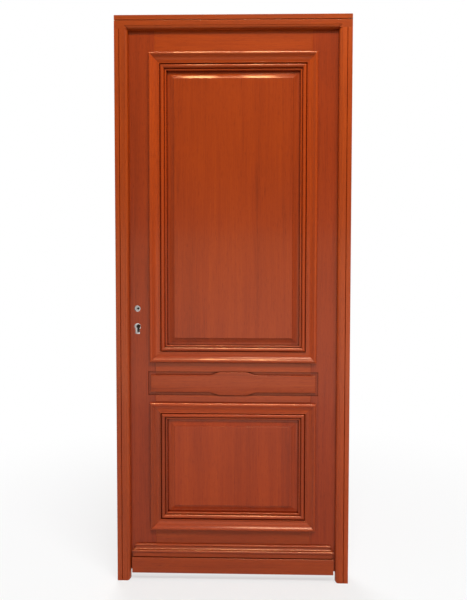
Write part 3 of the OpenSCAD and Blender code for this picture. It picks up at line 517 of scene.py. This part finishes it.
def grain_place(m, along, seed):
    """Coordinates with the grain along Z, and the same with a slow sway."""
    turn = (0, math.pi / 2, 0) if along == "X" else (0, 0, 0)
    offset = tuple((step * seed) % cycle for step, cycle in zip(OFFSET_STEP, OFFSET_CYCLE))
    grain = m.node(
        "ShaderNodeMapping", {}, {"Vector": m.place, "Location": offset, "Rotation": turn})
    sway = m.node(
        "ShaderNodeTexNoise", {},
        {"Vector": m.scaled(grain, SWAY_SCALE), "Scale": 1.0, "Detail": 1.0}, "Color")
    sway = m.node(
        "ShaderNodeVectorMath", {"operation": "SUBTRACT"}, {0: sway, 1: (0.5, 0.5, 0.5)})
    bent = m.node(
        "ShaderNodeVectorMath", {"operation": "MULTIPLY_ADD"},
        {0: sway, 1: SWAY_REACH, 2: grain})
    return grain, bent


def varnish(name, tone, along, seed, boards=False, alone=False, shaded_holes=False):
    """Stained and varnished wood with its grain along X or Z.

    It may be glued from boards. Alone, shade is painted only in its own hollows, for pieces whose
    edges show when the leaf opens. With shaded_holes, shade is painted on it behind the lock's
    holes.
    """
    wood = bpy.context.scene.door_wood
    tone = stained(tone, [BOARD_TONES_AND_LIGHT.get(name, 1)] * 3)
    dark, light = stained(tone, DARK_GRAIN), stained(tone, LIGHT_GRAIN)
    m = Finish("varnish_" + name)
    grain, bent = grain_place(m, along, seed)

    ribbon = m.noise(bent, RIBBON_SCALE, detail=1.5)
    fibre = m.noise(bent, FIBRE_SCALE, detail=4.0, roughness=0.62)
    cloud = m.noise(grain, CLOUD_SCALE, detail=2.0)
    pores = m.between(m.noise(bent, PORE_SCALE, detail=1.0), *PORE_FADE)
    figure = 0.5 + wood.grain_contrast * (
        (ribbon - 0.5) * RIBBON_SHARE + (fibre - 0.5) * FIBRE_SHARE
        + (cloud - 0.5) * CLOUD_SHARE)
    if boards:
        across = m.axis(grain, "X")
        board = m.node(
            "ShaderNodeMath", {"operation": "FLOOR"}, {0: across / wood.board_width})
        lot = m.node("ShaderNodeTexWhiteNoise", {"noise_dimensions": "1D"}, {"W": board})
        figure = figure + (lot - 0.5) * BOARD_SHARE

    colour = m.node(
        "ShaderNodeValToRGB", {"stops": list(zip(GRAIN_STOPS, (dark, tone, light)))},
        {"Fac": figure})
    colour = m.mix(pores * PORE_SHOW, colour, (*stained(tone, PORE_STAIN), 1))
    # Painted sheen: a pale tint added to the colour of the lower door, fading out upwards
    lower_sheen = 1 - m.between(m.axis(m.place, "Z"), *LOWER_SHEEN_FADE)
    colour = m.mix(lower_sheen, colour, PAINTED_SHEEN_TINT, "ADD")
    # Arrises lightened: partly wear of the varnish, partly a painted highlight
    wear_and_highlight = m.arris(WEAR_AND_HIGHLIGHT_REACH)
    colour = m.mix(wear_and_highlight * WEAR_AND_HIGHLIGHT_SHOW, colour, (*light, 1))
    # Painted shade: the colour darkens in corners, gaps and recesses where shade falls
    painted_shade = m.painted_shade(HOLLOW_SHADE_REACH, *HOLLOW_SHADE_FADE, alone)
    colour = m.mix(painted_shade * HOLLOW_SHADE_SHOW, colour, (*stained(tone, HOLLOW_SHADE_TINT), 1))
    # Painted shade: near black on the wood seen through the lock's holes
    if shaded_holes:
        colour = m.mix(shade_behind_holes(m), colour, HOLE_PAINTED_SHADE)

    peel = m.noise(m.place, PEEL_SCALE, detail=1.0)
    relief = peel * PEEL_HEIGHT - pores * PORE_DEPTH - fibre * FIBRE_DEPTH
    roughness = (
        wood.gloss + (fibre - 0.5) * FIBRE_ROUGH + pores * PORE_ROUGH
        + (cloud - 0.5) * CLOUD_ROUGH + wear_and_highlight * WORN_ROUGH)
    return m.shade(
        Base_Color=colour,
        Roughness=roughness,
        Specular_IOR_Level=0.25,
        Specular_Tint=(1.0, 0.55, 0.29, 1),
        # The coat is thinned where shade is painted and thickened with the painted sheen low down
        Coat_Weight=(1 - painted_shade) * (COAT_PLAIN + lower_sheen * COAT_LOWER_SHEEN),
        Coat_Roughness=0.30,
        Normal=m.bump(relief, distance=0.0001, strength=0.5))


def shade_behind_holes(m):
    """1 on the wood that shows through the lock's holes, where shade is painted, 0 elsewhere."""
    low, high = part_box("spindle_hub")
    x = (low[0] + high[0]) / 2
    spindle = low[2] + (high[0] - low[0]) / 2
    near = None
    for z in (spindle, spindle - CYLINDER_DROP):
        offset = m.node(
            "ShaderNodeVectorMath", {"operation": "SUBTRACT"}, {0: m.place, 1: (x, 0, z)})
        offset = m.scaled(offset, (1, 0, 1))
        away = m.node("ShaderNodeVectorMath", {"operation": "LENGTH"}, {0: offset}, "Value")
        here = 1 - m.between(away, *HOLE_RADIUS)
        near = here if near is None else m.node(
            "ShaderNodeMath", {"operation": "MAXIMUM"}, {0: near, 1: here})
    depth = m.axis(m.place, "Y")
    begun = m.between(depth, *[high[1] - start for start in HOLE_START])
    return near * begun * (1 - m.between(depth, *HOLE_STOP))


def plated(name, colour, roughness, along):
    """Plated metal with fine brush lines along X, Y or Z."""
    m = Finish(name)
    stretch = tuple(BRUSH_ALONG if axis == along else BRUSH_ACROSS for axis in "XYZ")
    brush = m.noise(m.place, stretch, detail=2.0, roughness=0.6)
    dull = m.between(m.noise(m.place, DULL_SCALE, detail=3.0), *DULL_FADE)
    tone = m.mix(dull * DULL_SHOW, (*colour, 1), (*stained(colour, [DULL_SHARE] * 3), 1))
    # Painted shade: the metal turns near black in its own hollows and holes
    painted_shade = m.painted_shade(METAL_SHADE_REACH, *METAL_SHADE_FADE, alone=True)
    shadow = stained(colour, [METAL_SHADE_SHARE] * 3)
    tone = m.mix(painted_shade * METAL_SHADE_SHOW, tone, (*shadow, 1))
    return m.shade(
        Base_Color=tone,
        Metallic=1.0,
        Roughness=roughness + (brush - 0.5) * BRUSH_ROUGH + dull * DULL_ROUGH,
        Normal=m.bump(brush, distance=0.00005, strength=0.35))


def moulded_rubber(name, colour):
    """Matt rubber with a faint skin and dust."""
    m = Finish(name)
    skin = m.noise(m.place, SKIN_SCALE, detail=2.0)
    dust = m.between(m.noise(m.place, DUST_SCALE, detail=3.0), *DUST_FADE)
    dusty = [c * DUST_GAIN + DUST_LIFT for c in colour]
    tone = m.mix(dust * DUST_SHOW, (*colour, 1), (*dusty, 1))
    return m.shade(
        Base_Color=tone,
        Roughness=RUBBER_ROUGH + (skin - 0.5) * SKIN_ROUGH,
        Specular_IOR_Level=0.3,
        Normal=m.bump(skin, distance=0.0001, strength=0.3))


# Shared steps


@cache
def smoother():
    """The one tree that shades smooth apart from edges sharper than an angle."""
    tree = Shape("Smooth Below Angle", [("Angle", "NodeSocketFloat")])
    angle = tree.node("GeometryNodeInputMeshEdgeAngle")
    sharp = tree.node(
        "FunctionNodeCompare", {"data_type": "FLOAT", "operation": "GREATER_THAN"},
        {0: angle, 1: tree.input("Angle")})
    soft = tree.node(
        "GeometryNodeSetShadeSmooth", {"domain": "FACE"},
        {"Geometry": tree.input("Geometry"), "Shade Smooth": True})
    tree.end(tree.node(
        "GeometryNodeSetShadeSmooth", {"domain": "EDGE"},
        {"Geometry": soft, "Selection": sharp, "Shade Smooth": False}))
    return tree


def ease(obj, width, angle):
    """Welds a node's triangles, eases its sharp edges and shades it smooth up to an angle."""
    weld = obj.modifiers.new("Weld", "WELD")
    weld.merge_threshold = WELD_REACH
    flat = obj.modifiers.new("Flats", "DECIMATE")
    flat.decimate_type = "DISSOLVE"
    flat.angle_limit = math.radians(FLAT_ANGLE)
    bevel = obj.modifiers.new("Eased edges", "BEVEL")
    bevel.limit_method = "ANGLE"
    bevel.angle_limit = math.radians(EASED_ANGLE)
    bevel.width = width
    bevel.segments = 2
    bevel.use_clamp_overlap = False
    smoother().fit(obj, {"Angle": math.radians(angle)})
    level = obj.modifiers.new("Flat faces", "WEIGHTED_NORMAL")
    level.keep_sharp = True


def finish_node(name, material, width, angle=SHARP_ANGLE):
    """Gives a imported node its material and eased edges."""
    obj = NODES[name]
    if not obj.material_slots:
        obj.data.materials.append(material)
    for slot in obj.material_slots:
        slot.material = material
    ease(obj, width, angle)


def new_piece(name, mesh):
    """An object at the origin that holds mesh."""
    obj = bpy.data.objects.new(name, mesh)
    bpy.context.scene.collection.objects.link(obj)
    return obj


def made_plain(obj):
    """Replaces obj's mesh by what its modifiers make of it."""
    bpy.context.view_layer.update()
    graph = bpy.context.evaluated_depsgraph_get()
    mesh = bpy.data.meshes.new_from_object(obj.evaluated_get(graph))
    obj.modifiers.clear()
    obj.data = mesh
    if not mesh.polygons:
        raise RuntimeError("%s came out empty" % obj.name)


class Step(bpy.types.Operator):
    """One step of finishing the door."""

    bl_options = {"REGISTER", "UNDO"}


# Woodwork


class DOOR_OT_frame_wood(Step):
    """Varnish the jambs and the head"""

    bl_idname = "door.frame_wood"
    bl_label = "Frame"

    def execute(self, context):
        wood = context.scene.door_wood
        edge = context.scene.door_edges.board
        for seed, name in enumerate(JAMBS, SEEDS["jambs"]):
            finish_node(name, varnish(name, wood.frame_tone, "Z", seed, alone=True), edge)
        head = varnish("head", wood.frame_tone, "X", SEEDS["head"], alone=True)
        finish_node("head", head, edge)
        return {"FINISHED"}


class DOOR_OT_leaf_wood(Step):
    """Varnish the stiles and rails of the leaf"""

    bl_idname = "door.leaf_wood"
    bl_label = "Stiles and Rails"

    def execute(self, context):
        wood = context.scene.door_wood
        edge = context.scene.door_edges.board
        for seed, name in enumerate(STILES, SEEDS["stiles"]):
            shaded_holes = name == "lock_stile"
            finish = varnish(name, wood.stile_tone, "Z", seed, alone=True, shaded_holes=shaded_holes)
            finish_node(name, finish, edge)
        for seed, name in enumerate(RAILS, SEEDS["rails"]):
            alone = name != "middle_rail"
            finish_node(name, varnish(name, wood.rail_tone, "X", seed, alone=alone), edge)
        return {"FINISHED"}


class DOOR_OT_mouldings(Step):
    """Varnish the mouldings round the panels"""

    bl_idname = "door.mouldings"
    bl_label = "Mouldings"

    def execute(self, context):
        wood = context.scene.door_wood
        edge = context.scene.door_edges.moulding
        bars = (("Z", UPRIGHT_BARS, "upright_bars"), ("X", LEVEL_BARS, "level_bars"))
        for along, names, kind in bars:
            for seed, name in enumerate(names, SEEDS[kind]):
                finish_node(name, varnish(name, wood.moulding_tone, along, seed), edge)
        return {"FINISHED"}


class DOOR_OT_panels(Step):
    """Varnish the two raised panels"""

    bl_idname = "door.panels"
    bl_label = "Panels"

    def execute(self, context):
        wood = context.scene.door_wood
        edge = context.scene.door_edges.moulding
        for seed, name in enumerate(PANELS, SEEDS["panels"]):
            finish = varnish(name, wood.panel_tone, "Z", seed, boards=True)
            finish_node(name, finish, edge, PANEL_SHARP_ANGLE)
        return {"FINISHED"}


class DOOR_OT_plinth(Step):
    """Varnish the moulded plinth"""

    bl_idname = "door.plinth"
    bl_label = "Plinth"

    def execute(self, context):
        tone = context.scene.door_wood.rail_tone
        finish = varnish("plinth", tone, "X", SEEDS["plinth"])
        finish_node("plinth", finish, context.scene.door_edges.moulding)
        return {"FINISHED"}


class DOOR_OT_middle_table(Step):
    """Round and varnish the shaped table on the middle rail"""

    bl_idname = "door.middle_table"
    bl_label = "Middle Table"

    def execute(self, context):
        low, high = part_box("middle_table")
        outline = self.outline(low[1])
        front, back = [], []
        mesh = bmesh.new()
        for x, z in outline:
            front.append(mesh.verts.new((x, low[1], z)))
            back.append(mesh.verts.new((x, high[1], z)))
        mesh.faces.new(front)
        mesh.faces.new(back[::-1])
        rim = []
        for i in range(len(outline)):
            j = (i + 1) % len(outline)
            mesh.faces.new((front[i], back[i], back[j], front[j]))
            rim.append(mesh.edges.get((front[i], front[j])))
        bmesh.ops.recalc_face_normals(mesh, faces=mesh.faces)
        bmesh.ops.bevel(
            mesh, geom=rim, offset=context.scene.door_edges.table, offset_type="OFFSET",
            segments=5, profile=0.5, affect="EDGES")
        data = bpy.data.meshes.new("middle_table_face")
        mesh.to_mesh(data)
        mesh.free()
        piece = new_piece("middle_table_face", data)
        tone = context.scene.door_wood.rail_tone
        data.materials.append(varnish("middle_table", tone, "X", SEEDS["table"]))
        smoother().fit(piece, {"Angle": math.radians(SHARP_ANGLE)})
        made_plain(piece)
        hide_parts("middle_table")
        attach(piece, "leaf")
        return {"FINISHED"}

    def outline(self, y):
        """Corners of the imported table's front, in order round it."""
        corners = {
            (round(v.co.x, 6), round(v.co.z, 6))
            for v in NODES["middle_table"].data.vertices if abs(v.co.y - y) < FRONT_REACH}
        middle = sum(z for _, z in corners) / len(corners)
        upper = sorted(c for c in corners if c[1] > middle)
        lower = sorted((c for c in corners if c[1] <= middle), reverse=True)
        return upper + lower


# Seals


class DOOR_OT_seals(Step):
    """Run one length of bulb seal round the frame's rebate"""

    bl_idname = "door.seals"
    bl_label = "Seals"

    def execute(self, context):
        settings = context.scene.door_seals
        left_low, left_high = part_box("left_seal")
        right_low, right_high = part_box("right_seal")
        head_low, head_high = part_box("head_seal")
        x0 = (left_low[0] + left_high[0]) / 2
        x1 = (right_low[0] + right_high[0]) / 2
        top = (head_low[2] + head_high[2]) / 2
        y = max(left_high[1], head_high[1]) - BULB_HEIGHT
        path = [(x0, y, left_low[2]), (x0, y, top), (x1, y, top), (x1, y, right_low[2])]
        line = bpy.data.meshes.new("rebate_seal")
        line.from_pydata(path, [(0, 1), (1, 2), (2, 3)], [])
        piece = new_piece("rebate_seal", line)
        rubber = moulded_rubber("rubber_seal", context.scene.door_metal.rubber)
        self.tree().fit(piece, {
            "Width": settings.width, "Height": BULB_HEIGHT, "Corner": settings.corner,
            "Material": rubber})
        made_plain(piece)
        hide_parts(*SEALS)
        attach(piece, "frame")
        return {"FINISHED"}

    def tree(self):
        """A half-round bulb swept along the path."""
        tree = Shape("Bulb Seal", [
            ("Width", "NodeSocketFloat"), ("Height", "NodeSocketFloat"),
            ("Corner", "NodeSocketFloat"), ("Material", "NodeSocketMaterial")])
        curve = tree.node("GeometryNodeMeshToCurve", {}, {"Mesh": tree.input("Geometry")})
        curve = tree.node(
            "GeometryNodeFilletCurve", {"mode": "POLY"},
            {"Curve": curve, "Count": CORNER_POINTS, "Radius": tree.input("Corner")})
        curve = tree.node(
            "GeometryNodeSetCurveNormal", {"mode": "FREE"}, {"Curve": curve, "Normal": (0, 1, 0)})
        bulb = tree.node(
            "GeometryNodeCurveArc", {"mode": "RADIUS"},
            {"Resolution": BULB_POINTS, "Radius": 1.0,
             "Start Angle": -math.pi / 2, "Sweep Angle": math.pi})
        bulb = tree.node("GeometryNodeSetSplineCyclic", {}, {"Geometry": bulb, "Cyclic": True})
        size = tree.node(
            "ShaderNodeCombineXYZ", {},
            {"X": tree.input("Height"), "Y": tree.input("Width") * 0.5, "Z": 1.0})
        bulb = tree.node("GeometryNodeTransform", {}, {"Geometry": bulb, "Scale": size})
        tube = tree.node(
            "GeometryNodeCurveToMesh", {},
            {"Curve": curve, "Profile Curve": bulb, "Fill Caps": True})
        solid = tree.node("GeometryNodeRealizeInstances", {}, {"Geometry": tube})
        tree.end(tree.node(
            "GeometryNodeSetMaterial", {},
            {"Geometry": solid, "Material": tree.input("Material")}))
        return tree


# Metal


class DOOR_OT_screws(Step):
    """Set a cross-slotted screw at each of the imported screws"""

    bl_idname = "door.screws"
    bl_label = "Screws"

    def execute(self, context):
        settings = context.scene.door_screws
        steel = plated("steel_screws", context.scene.door_metal.steel, roughness=0.30, along="X")
        tree = self.tree()
        for node, (body, side) in SCREWS.items():
            points = bpy.data.meshes.new(node + "_set")
            points.from_pydata(self.heads(node, side), [], [])
            piece = new_piece(node + "_set", points)
            tree.fit(piece, {
                "Head": settings.head, "Shank": settings.shank, "Length": settings.length,
                "Slot": settings.slot, "Facing": (0, side * math.pi / 2, 0), "Seed": settings.seed,
                "Material": steel})
            made_plain(piece)
            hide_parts(node)
            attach(piece, body)
        return {"FINISHED"}

    def heads(self, node, side):
        """Middle of each screw head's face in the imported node."""
        groups = []
        for vertex in NODES[node].data.vertices:
            for group in groups:
                if (group[0].yz - vertex.co.yz).length < SCREW_REACH:
                    group.append(vertex.co)
                    break
            else:
                groups.append([vertex.co.copy()])
        places = []
        for group in groups:
            xs, ys, zs = zip(*group)
            face = max(xs) if side > 0 else min(xs)
            places.append((face, (min(ys) + max(ys)) / 2, (min(zs) + max(zs)) / 2))
        return places

    def tree(self):
        """A countersunk screw on each point, turned at random about its length."""
        tree = Shape("Cross-Slotted Screws", [
            ("Head", "NodeSocketFloat"), ("Shank", "NodeSocketFloat"),
            ("Length", "NodeSocketFloat"), ("Slot", "NodeSocketFloat"),
            ("Facing", "NodeSocketVector"), ("Seed", "NodeSocketInt"),
            ("Material", "NodeSocketMaterial")])
        head, shank, length = tree.input("Head"), tree.input("Shank"), tree.input("Length")
        cone = tree.node(
            "GeometryNodeMeshCone", {"fill_type": "NGON"},
            {"Vertices": HEAD_SIDES, "Radius Top": shank, "Radius Bottom": head,
             "Depth": head - shank})
        cone = tree.node(
            "GeometryNodeTransform", {}, {"Geometry": cone, "Rotation": (math.pi, 0, 0)})
        across = head * SLOT_REACH
        blades = []
        for turn in (0, math.pi / 2):
            size = tree.node(
                "ShaderNodeCombineXYZ", {},
                {"X": across, "Y": tree.input("Slot"), "Z": shank * SLOT_DEPTH})
            blade = tree.node("GeometryNodeMeshCube", {}, {"Size": size})
            blades.append(tree.node(
                "GeometryNodeTransform", {}, {"Geometry": blade, "Rotation": (0, 0, turn)}))
        cut = tree.node(
            "GeometryNodeMeshBoolean", {"operation": "DIFFERENCE", "solver": "EXACT"},
            {"Mesh 1": cone, "Mesh 2": blades})
        run = length - head + shank
        stem = tree.node(
            "GeometryNodeMeshCylinder", {"fill_type": "NGON"},
            {"Vertices": SHANK_SIDES, "Radius": shank, "Depth": run})
        drop = tree.node("ShaderNodeCombineXYZ", {}, {"Z": shank - head - run * 0.5})
        stem = tree.node("GeometryNodeTransform", {}, {"Geometry": stem, "Translation": drop})
        screw = tree.node("GeometryNodeJoinGeometry", {}, {"Geometry": [cut, stem]})
        points = tree.node("GeometryNodeMeshToPoints", {}, {"Mesh": tree.input("Geometry")})
        spin = tree.node(
            "FunctionNodeRandomValue", {"data_type": "FLOAT"},
            {2: 0.0, 3: math.pi, "Seed": tree.input("Seed")}, 1)
        placed = tree.node(
            "GeometryNodeInstanceOnPoints", {},
            {"Points": points, "Instance": screw, "Rotation": tree.input("Facing")})
        spun = tree.node("ShaderNodeCombineXYZ", {}, {"Z": spin})
        placed = tree.node(
            "GeometryNodeRotateInstances", {},
            {"Instances": placed, "Rotation": spun, "Local Space": True})
        solid = tree.node("GeometryNodeRealizeInstances", {}, {"Geometry": placed})
        flat = tree.node(
            "GeometryNodeSetShadeSmooth", {"domain": "FACE"},
            {"Geometry": solid, "Shade Smooth": False})
        tree.end(tree.node(
            "GeometryNodeSetMaterial", {},
            {"Geometry": flat, "Material": tree.input("Material")}))
        return tree


class DOOR_OT_hinges(Step):
    """Finish the hinges, their pins and wear rings"""

    bl_idname = "door.hinges"
    bl_label = "Hinges"

    def execute(self, context):
        metal = context.scene.door_metal
        edge = context.scene.door_edges.metal
        steel = plated("steel_hinges", metal.steel, roughness=0.32, along="Z")
        for name in HINGES:
            finish_node(name, steel, edge)
        pins = plated("steel_pins", metal.steel, roughness=0.22, along="Z")
        finish_node("hinge_pins", pins, edge)
        rings = plated("brass_rings", metal.brass, roughness=0.28, along="Z")
        finish_node("hinge_rings", rings, edge)
        return {"FINISHED"}


class DOOR_OT_lock(Step):
    """Finish the lock, its bolts, rods and strike plates"""

    bl_idname = "door.lock"
    bl_label = "Lock"

    def execute(self, context):
        metal = context.scene.door_metal
        edge = context.scene.door_edges.metal
        plate = plated("zinc_plates", metal.zinc, roughness=0.30, along="Z")
        for name in STRIKES + ["face_plate"] + LOCK_CASES:
            finish_node(name, plate, edge)
        bolt = plated("zinc_bolts", metal.zinc, roughness=0.26, along="X")
        for name in BOLTS:
            finish_node(name, bolt, edge)
        dull_zinc = stained(metal.zinc, [HUB_SHARE] * 3)
        hub = plated("zinc_hub", dull_zinc, roughness=0.42, along="Y")
        finish_node("spindle_hub", hub, edge)
        rod = plated("steel_rods", metal.steel, roughness=0.36, along="Z")
        for name in RODS:
            finish_node(name, rod, edge)
        return {"FINISHED"}


# Stage


class DOOR_OT_stage(Step):
    """Set up the floor, the light and the camera"""

    bl_idname = "door.stage"
    bl_label = "Stage"

    def execute(self, context):
        stage = context.scene.door_stage
        context.scene.view_settings.view_transform = "Standard"
        self.floor(stage)
        self.world(context.scene, stage)
        for name, place, target, width, height, power in SOFT_LAMPS:
            self.lamp(name, place, target, width, height, getattr(stage, power))
        for name, place, target, width, height, power in GLINT_LAMPS:
            self.glint(name, place, target, width, height, getattr(stage, power), WARM_LIGHT)
        area = sum(width * height for width, height in CARD_SIZES)
        for i, (width, height) in enumerate(CARD_SIZES, 1):
            power = stage.fill * width * height / area
            self.glint(
                "front_card_%d" % i, CARD_PLACE, CARD_TARGET, width, height, power, WHITE_LIGHT)
        self.camera(context.scene, stage)
        return {"FINISHED"}

    def floor(self, stage):
        """A wide pale disc that turns white away from the door."""
        mesh = bmesh.new()
        bmesh.ops.create_circle(mesh, cap_ends=True, segments=96, radius=FLOOR_RADIUS)
        data = bpy.data.meshes.new("studio_floor")
        mesh.to_mesh(data)
        mesh.free()
        m = Finish("pale_floor")
        far = m.node("ShaderNodeVectorMath", {"operation": "LENGTH"}, {0: m.place}, "Value")
        white = m.node("ShaderNodeEmission", {}, {"Color": WHITE, "Strength": 1.0})
        plain = m.node(
            "ShaderNodeBsdfPrincipled", {},
            {"Base Color": (*stage.floor_colour, 1), "Roughness": 0.9, "Specular IOR Level": 0.1})
        whiteness = FLOOR_WHITENESS + (1 - FLOOR_WHITENESS) * m.between(far, *FLOOR_FADE)
        share = self.seen(m) * whiteness
        both = m.node("ShaderNodeMixShader", {}, {0: share, 1: plain, 2: white})
        m.node("ShaderNodeOutputMaterial", {}, {"Surface": both})
        data.materials.append(m.material)
        new_piece("studio_floor", data)

    def seen(self, tree):
        """1 for rays that show the background: camera, glossy and transmission rays."""
        camera, glossy, through = [
            tree.node("ShaderNodeLightPath", output="Is %s Ray" % kind)
            for kind in ("Camera", "Glossy", "Transmission")]
        total = camera + glossy + through
        return tree.node("ShaderNodeMath", {"operation": "MINIMUM"}, {0: total, 1: 1.0})

    def world(self, scene, stage):
        """Even light from all around, with a white background."""
        scene.world = bpy.data.worlds.new("studio")
        scene.world.use_nodes = True
        tree = Tree(scene.world.node_tree)
        dim = tree.node(
            "ShaderNodeBackground", {}, {"Color": WHITE, "Strength": stage.ambient})
        white = tree.node("ShaderNodeBackground", {}, {"Color": WHITE, "Strength": 1.0})
        both = tree.node("ShaderNodeMixShader", {}, {0: self.seen(tree), 1: dim, 2: white})
        tree.node("ShaderNodeOutputWorld", {}, {"Surface": both})

    def lamp(self, name, place, target, width, height, power):
        """A soft rectangular lamp turned to a target."""
        light = bpy.data.lights.new(name, "AREA")
        light.shape = "RECTANGLE"
        light.size = width
        light.size_y = height
        light.energy = power
        obj = new_piece(name, light)
        obj.location = place
        aim = Vector(target) - Vector(place)
        obj.rotation_euler = aim.to_track_quat("-Z", "Y").to_euler()
        obj.visible_camera = False
        return obj

    def glint(self, name, place, target, width, height, power, colour):
        """A lamp that shows in the varnish and the metal alone."""
        obj = self.lamp(name, place, target, width, height, power)
        obj.data.color = colour
        obj.visible_diffuse = False

    def camera(self, scene, stage):
        """The photograph's camera."""
        yaw, pitch, roll = stage.camera_yaw, stage.camera_pitch, stage.camera_roll
        level = math.cos(pitch)
        ahead = Vector((math.sin(yaw) * level, math.cos(yaw) * level, -math.sin(pitch)))
        right = Vector((math.cos(yaw), -math.sin(yaw), 0))
        up = right.cross(ahead)
        turned = right * math.cos(roll) + up * math.sin(roll)
        upright = up * math.cos(roll) - right * math.sin(roll)
        data = bpy.data.cameras.new("photo_camera")
        data.lens = stage.lens
        data.sensor_width = SENSOR_WIDTH
        data.shift_x, data.shift_y = CAMERA_SHIFT
        data.clip_end = CAMERA_REACH
        obj = new_piece("photo_camera", data)
        obj.matrix_world = Matrix.Translation(stage.camera_place) @ Matrix(
            (turned, upright, -ahead)).transposed().to_4x4()
        scene.camera = obj


# Panel and registration


SETTINGS = [
    ("door_wood", WoodSettings), ("door_edges", EdgeSettings), ("door_metal", MetalSettings),
    ("door_seals", SealSettings), ("door_screws", ScrewSettings), ("door_stage", StageSettings),
]
STEPS = [
    DOOR_OT_frame_wood, DOOR_OT_leaf_wood, DOOR_OT_mouldings, DOOR_OT_panels,
    DOOR_OT_middle_table, DOOR_OT_plinth, DOOR_OT_seals, DOOR_OT_screws,
    DOOR_OT_hinges, DOOR_OT_lock, DOOR_OT_stage,
]


class DOOR_PT_sidebar(bpy.types.Panel):
    """The door's settings and steps."""

    bl_idname = "DOOR_PT_sidebar"
    bl_label = "Front Door"
    bl_space_type = "VIEW_3D"
    bl_region_type = "UI"
    bl_category = "Front Door"

    def draw(self, context):
        for name, group in SETTINGS:
            box = self.layout.box()
            for field in group.__annotations__:
                box.prop(getattr(context.scene, name), field)
        for step in STEPS:
            self.layout.operator(step.bl_idname)


def register():
    for name, group in SETTINGS:
        bpy.utils.register_class(group)
        setattr(bpy.types.Scene, name, PointerProperty(type=group))
    for step in STEPS:
        bpy.utils.register_class(step)
    bpy.utils.register_class(DOOR_PT_sidebar)


def unregister():
    bpy.utils.unregister_class(DOOR_PT_sidebar)
    for step in reversed(STEPS):
        bpy.utils.unregister_class(step)
    for name, group in reversed(SETTINGS):
        delattr(bpy.types.Scene, name)
        bpy.utils.unregister_class(group)


def main():
    register()
    for step in STEPS:
        family, name = step.bl_idname.split(".")
        getattr(getattr(bpy.ops, family), name)()


if __name__ == "__main__":
    main()
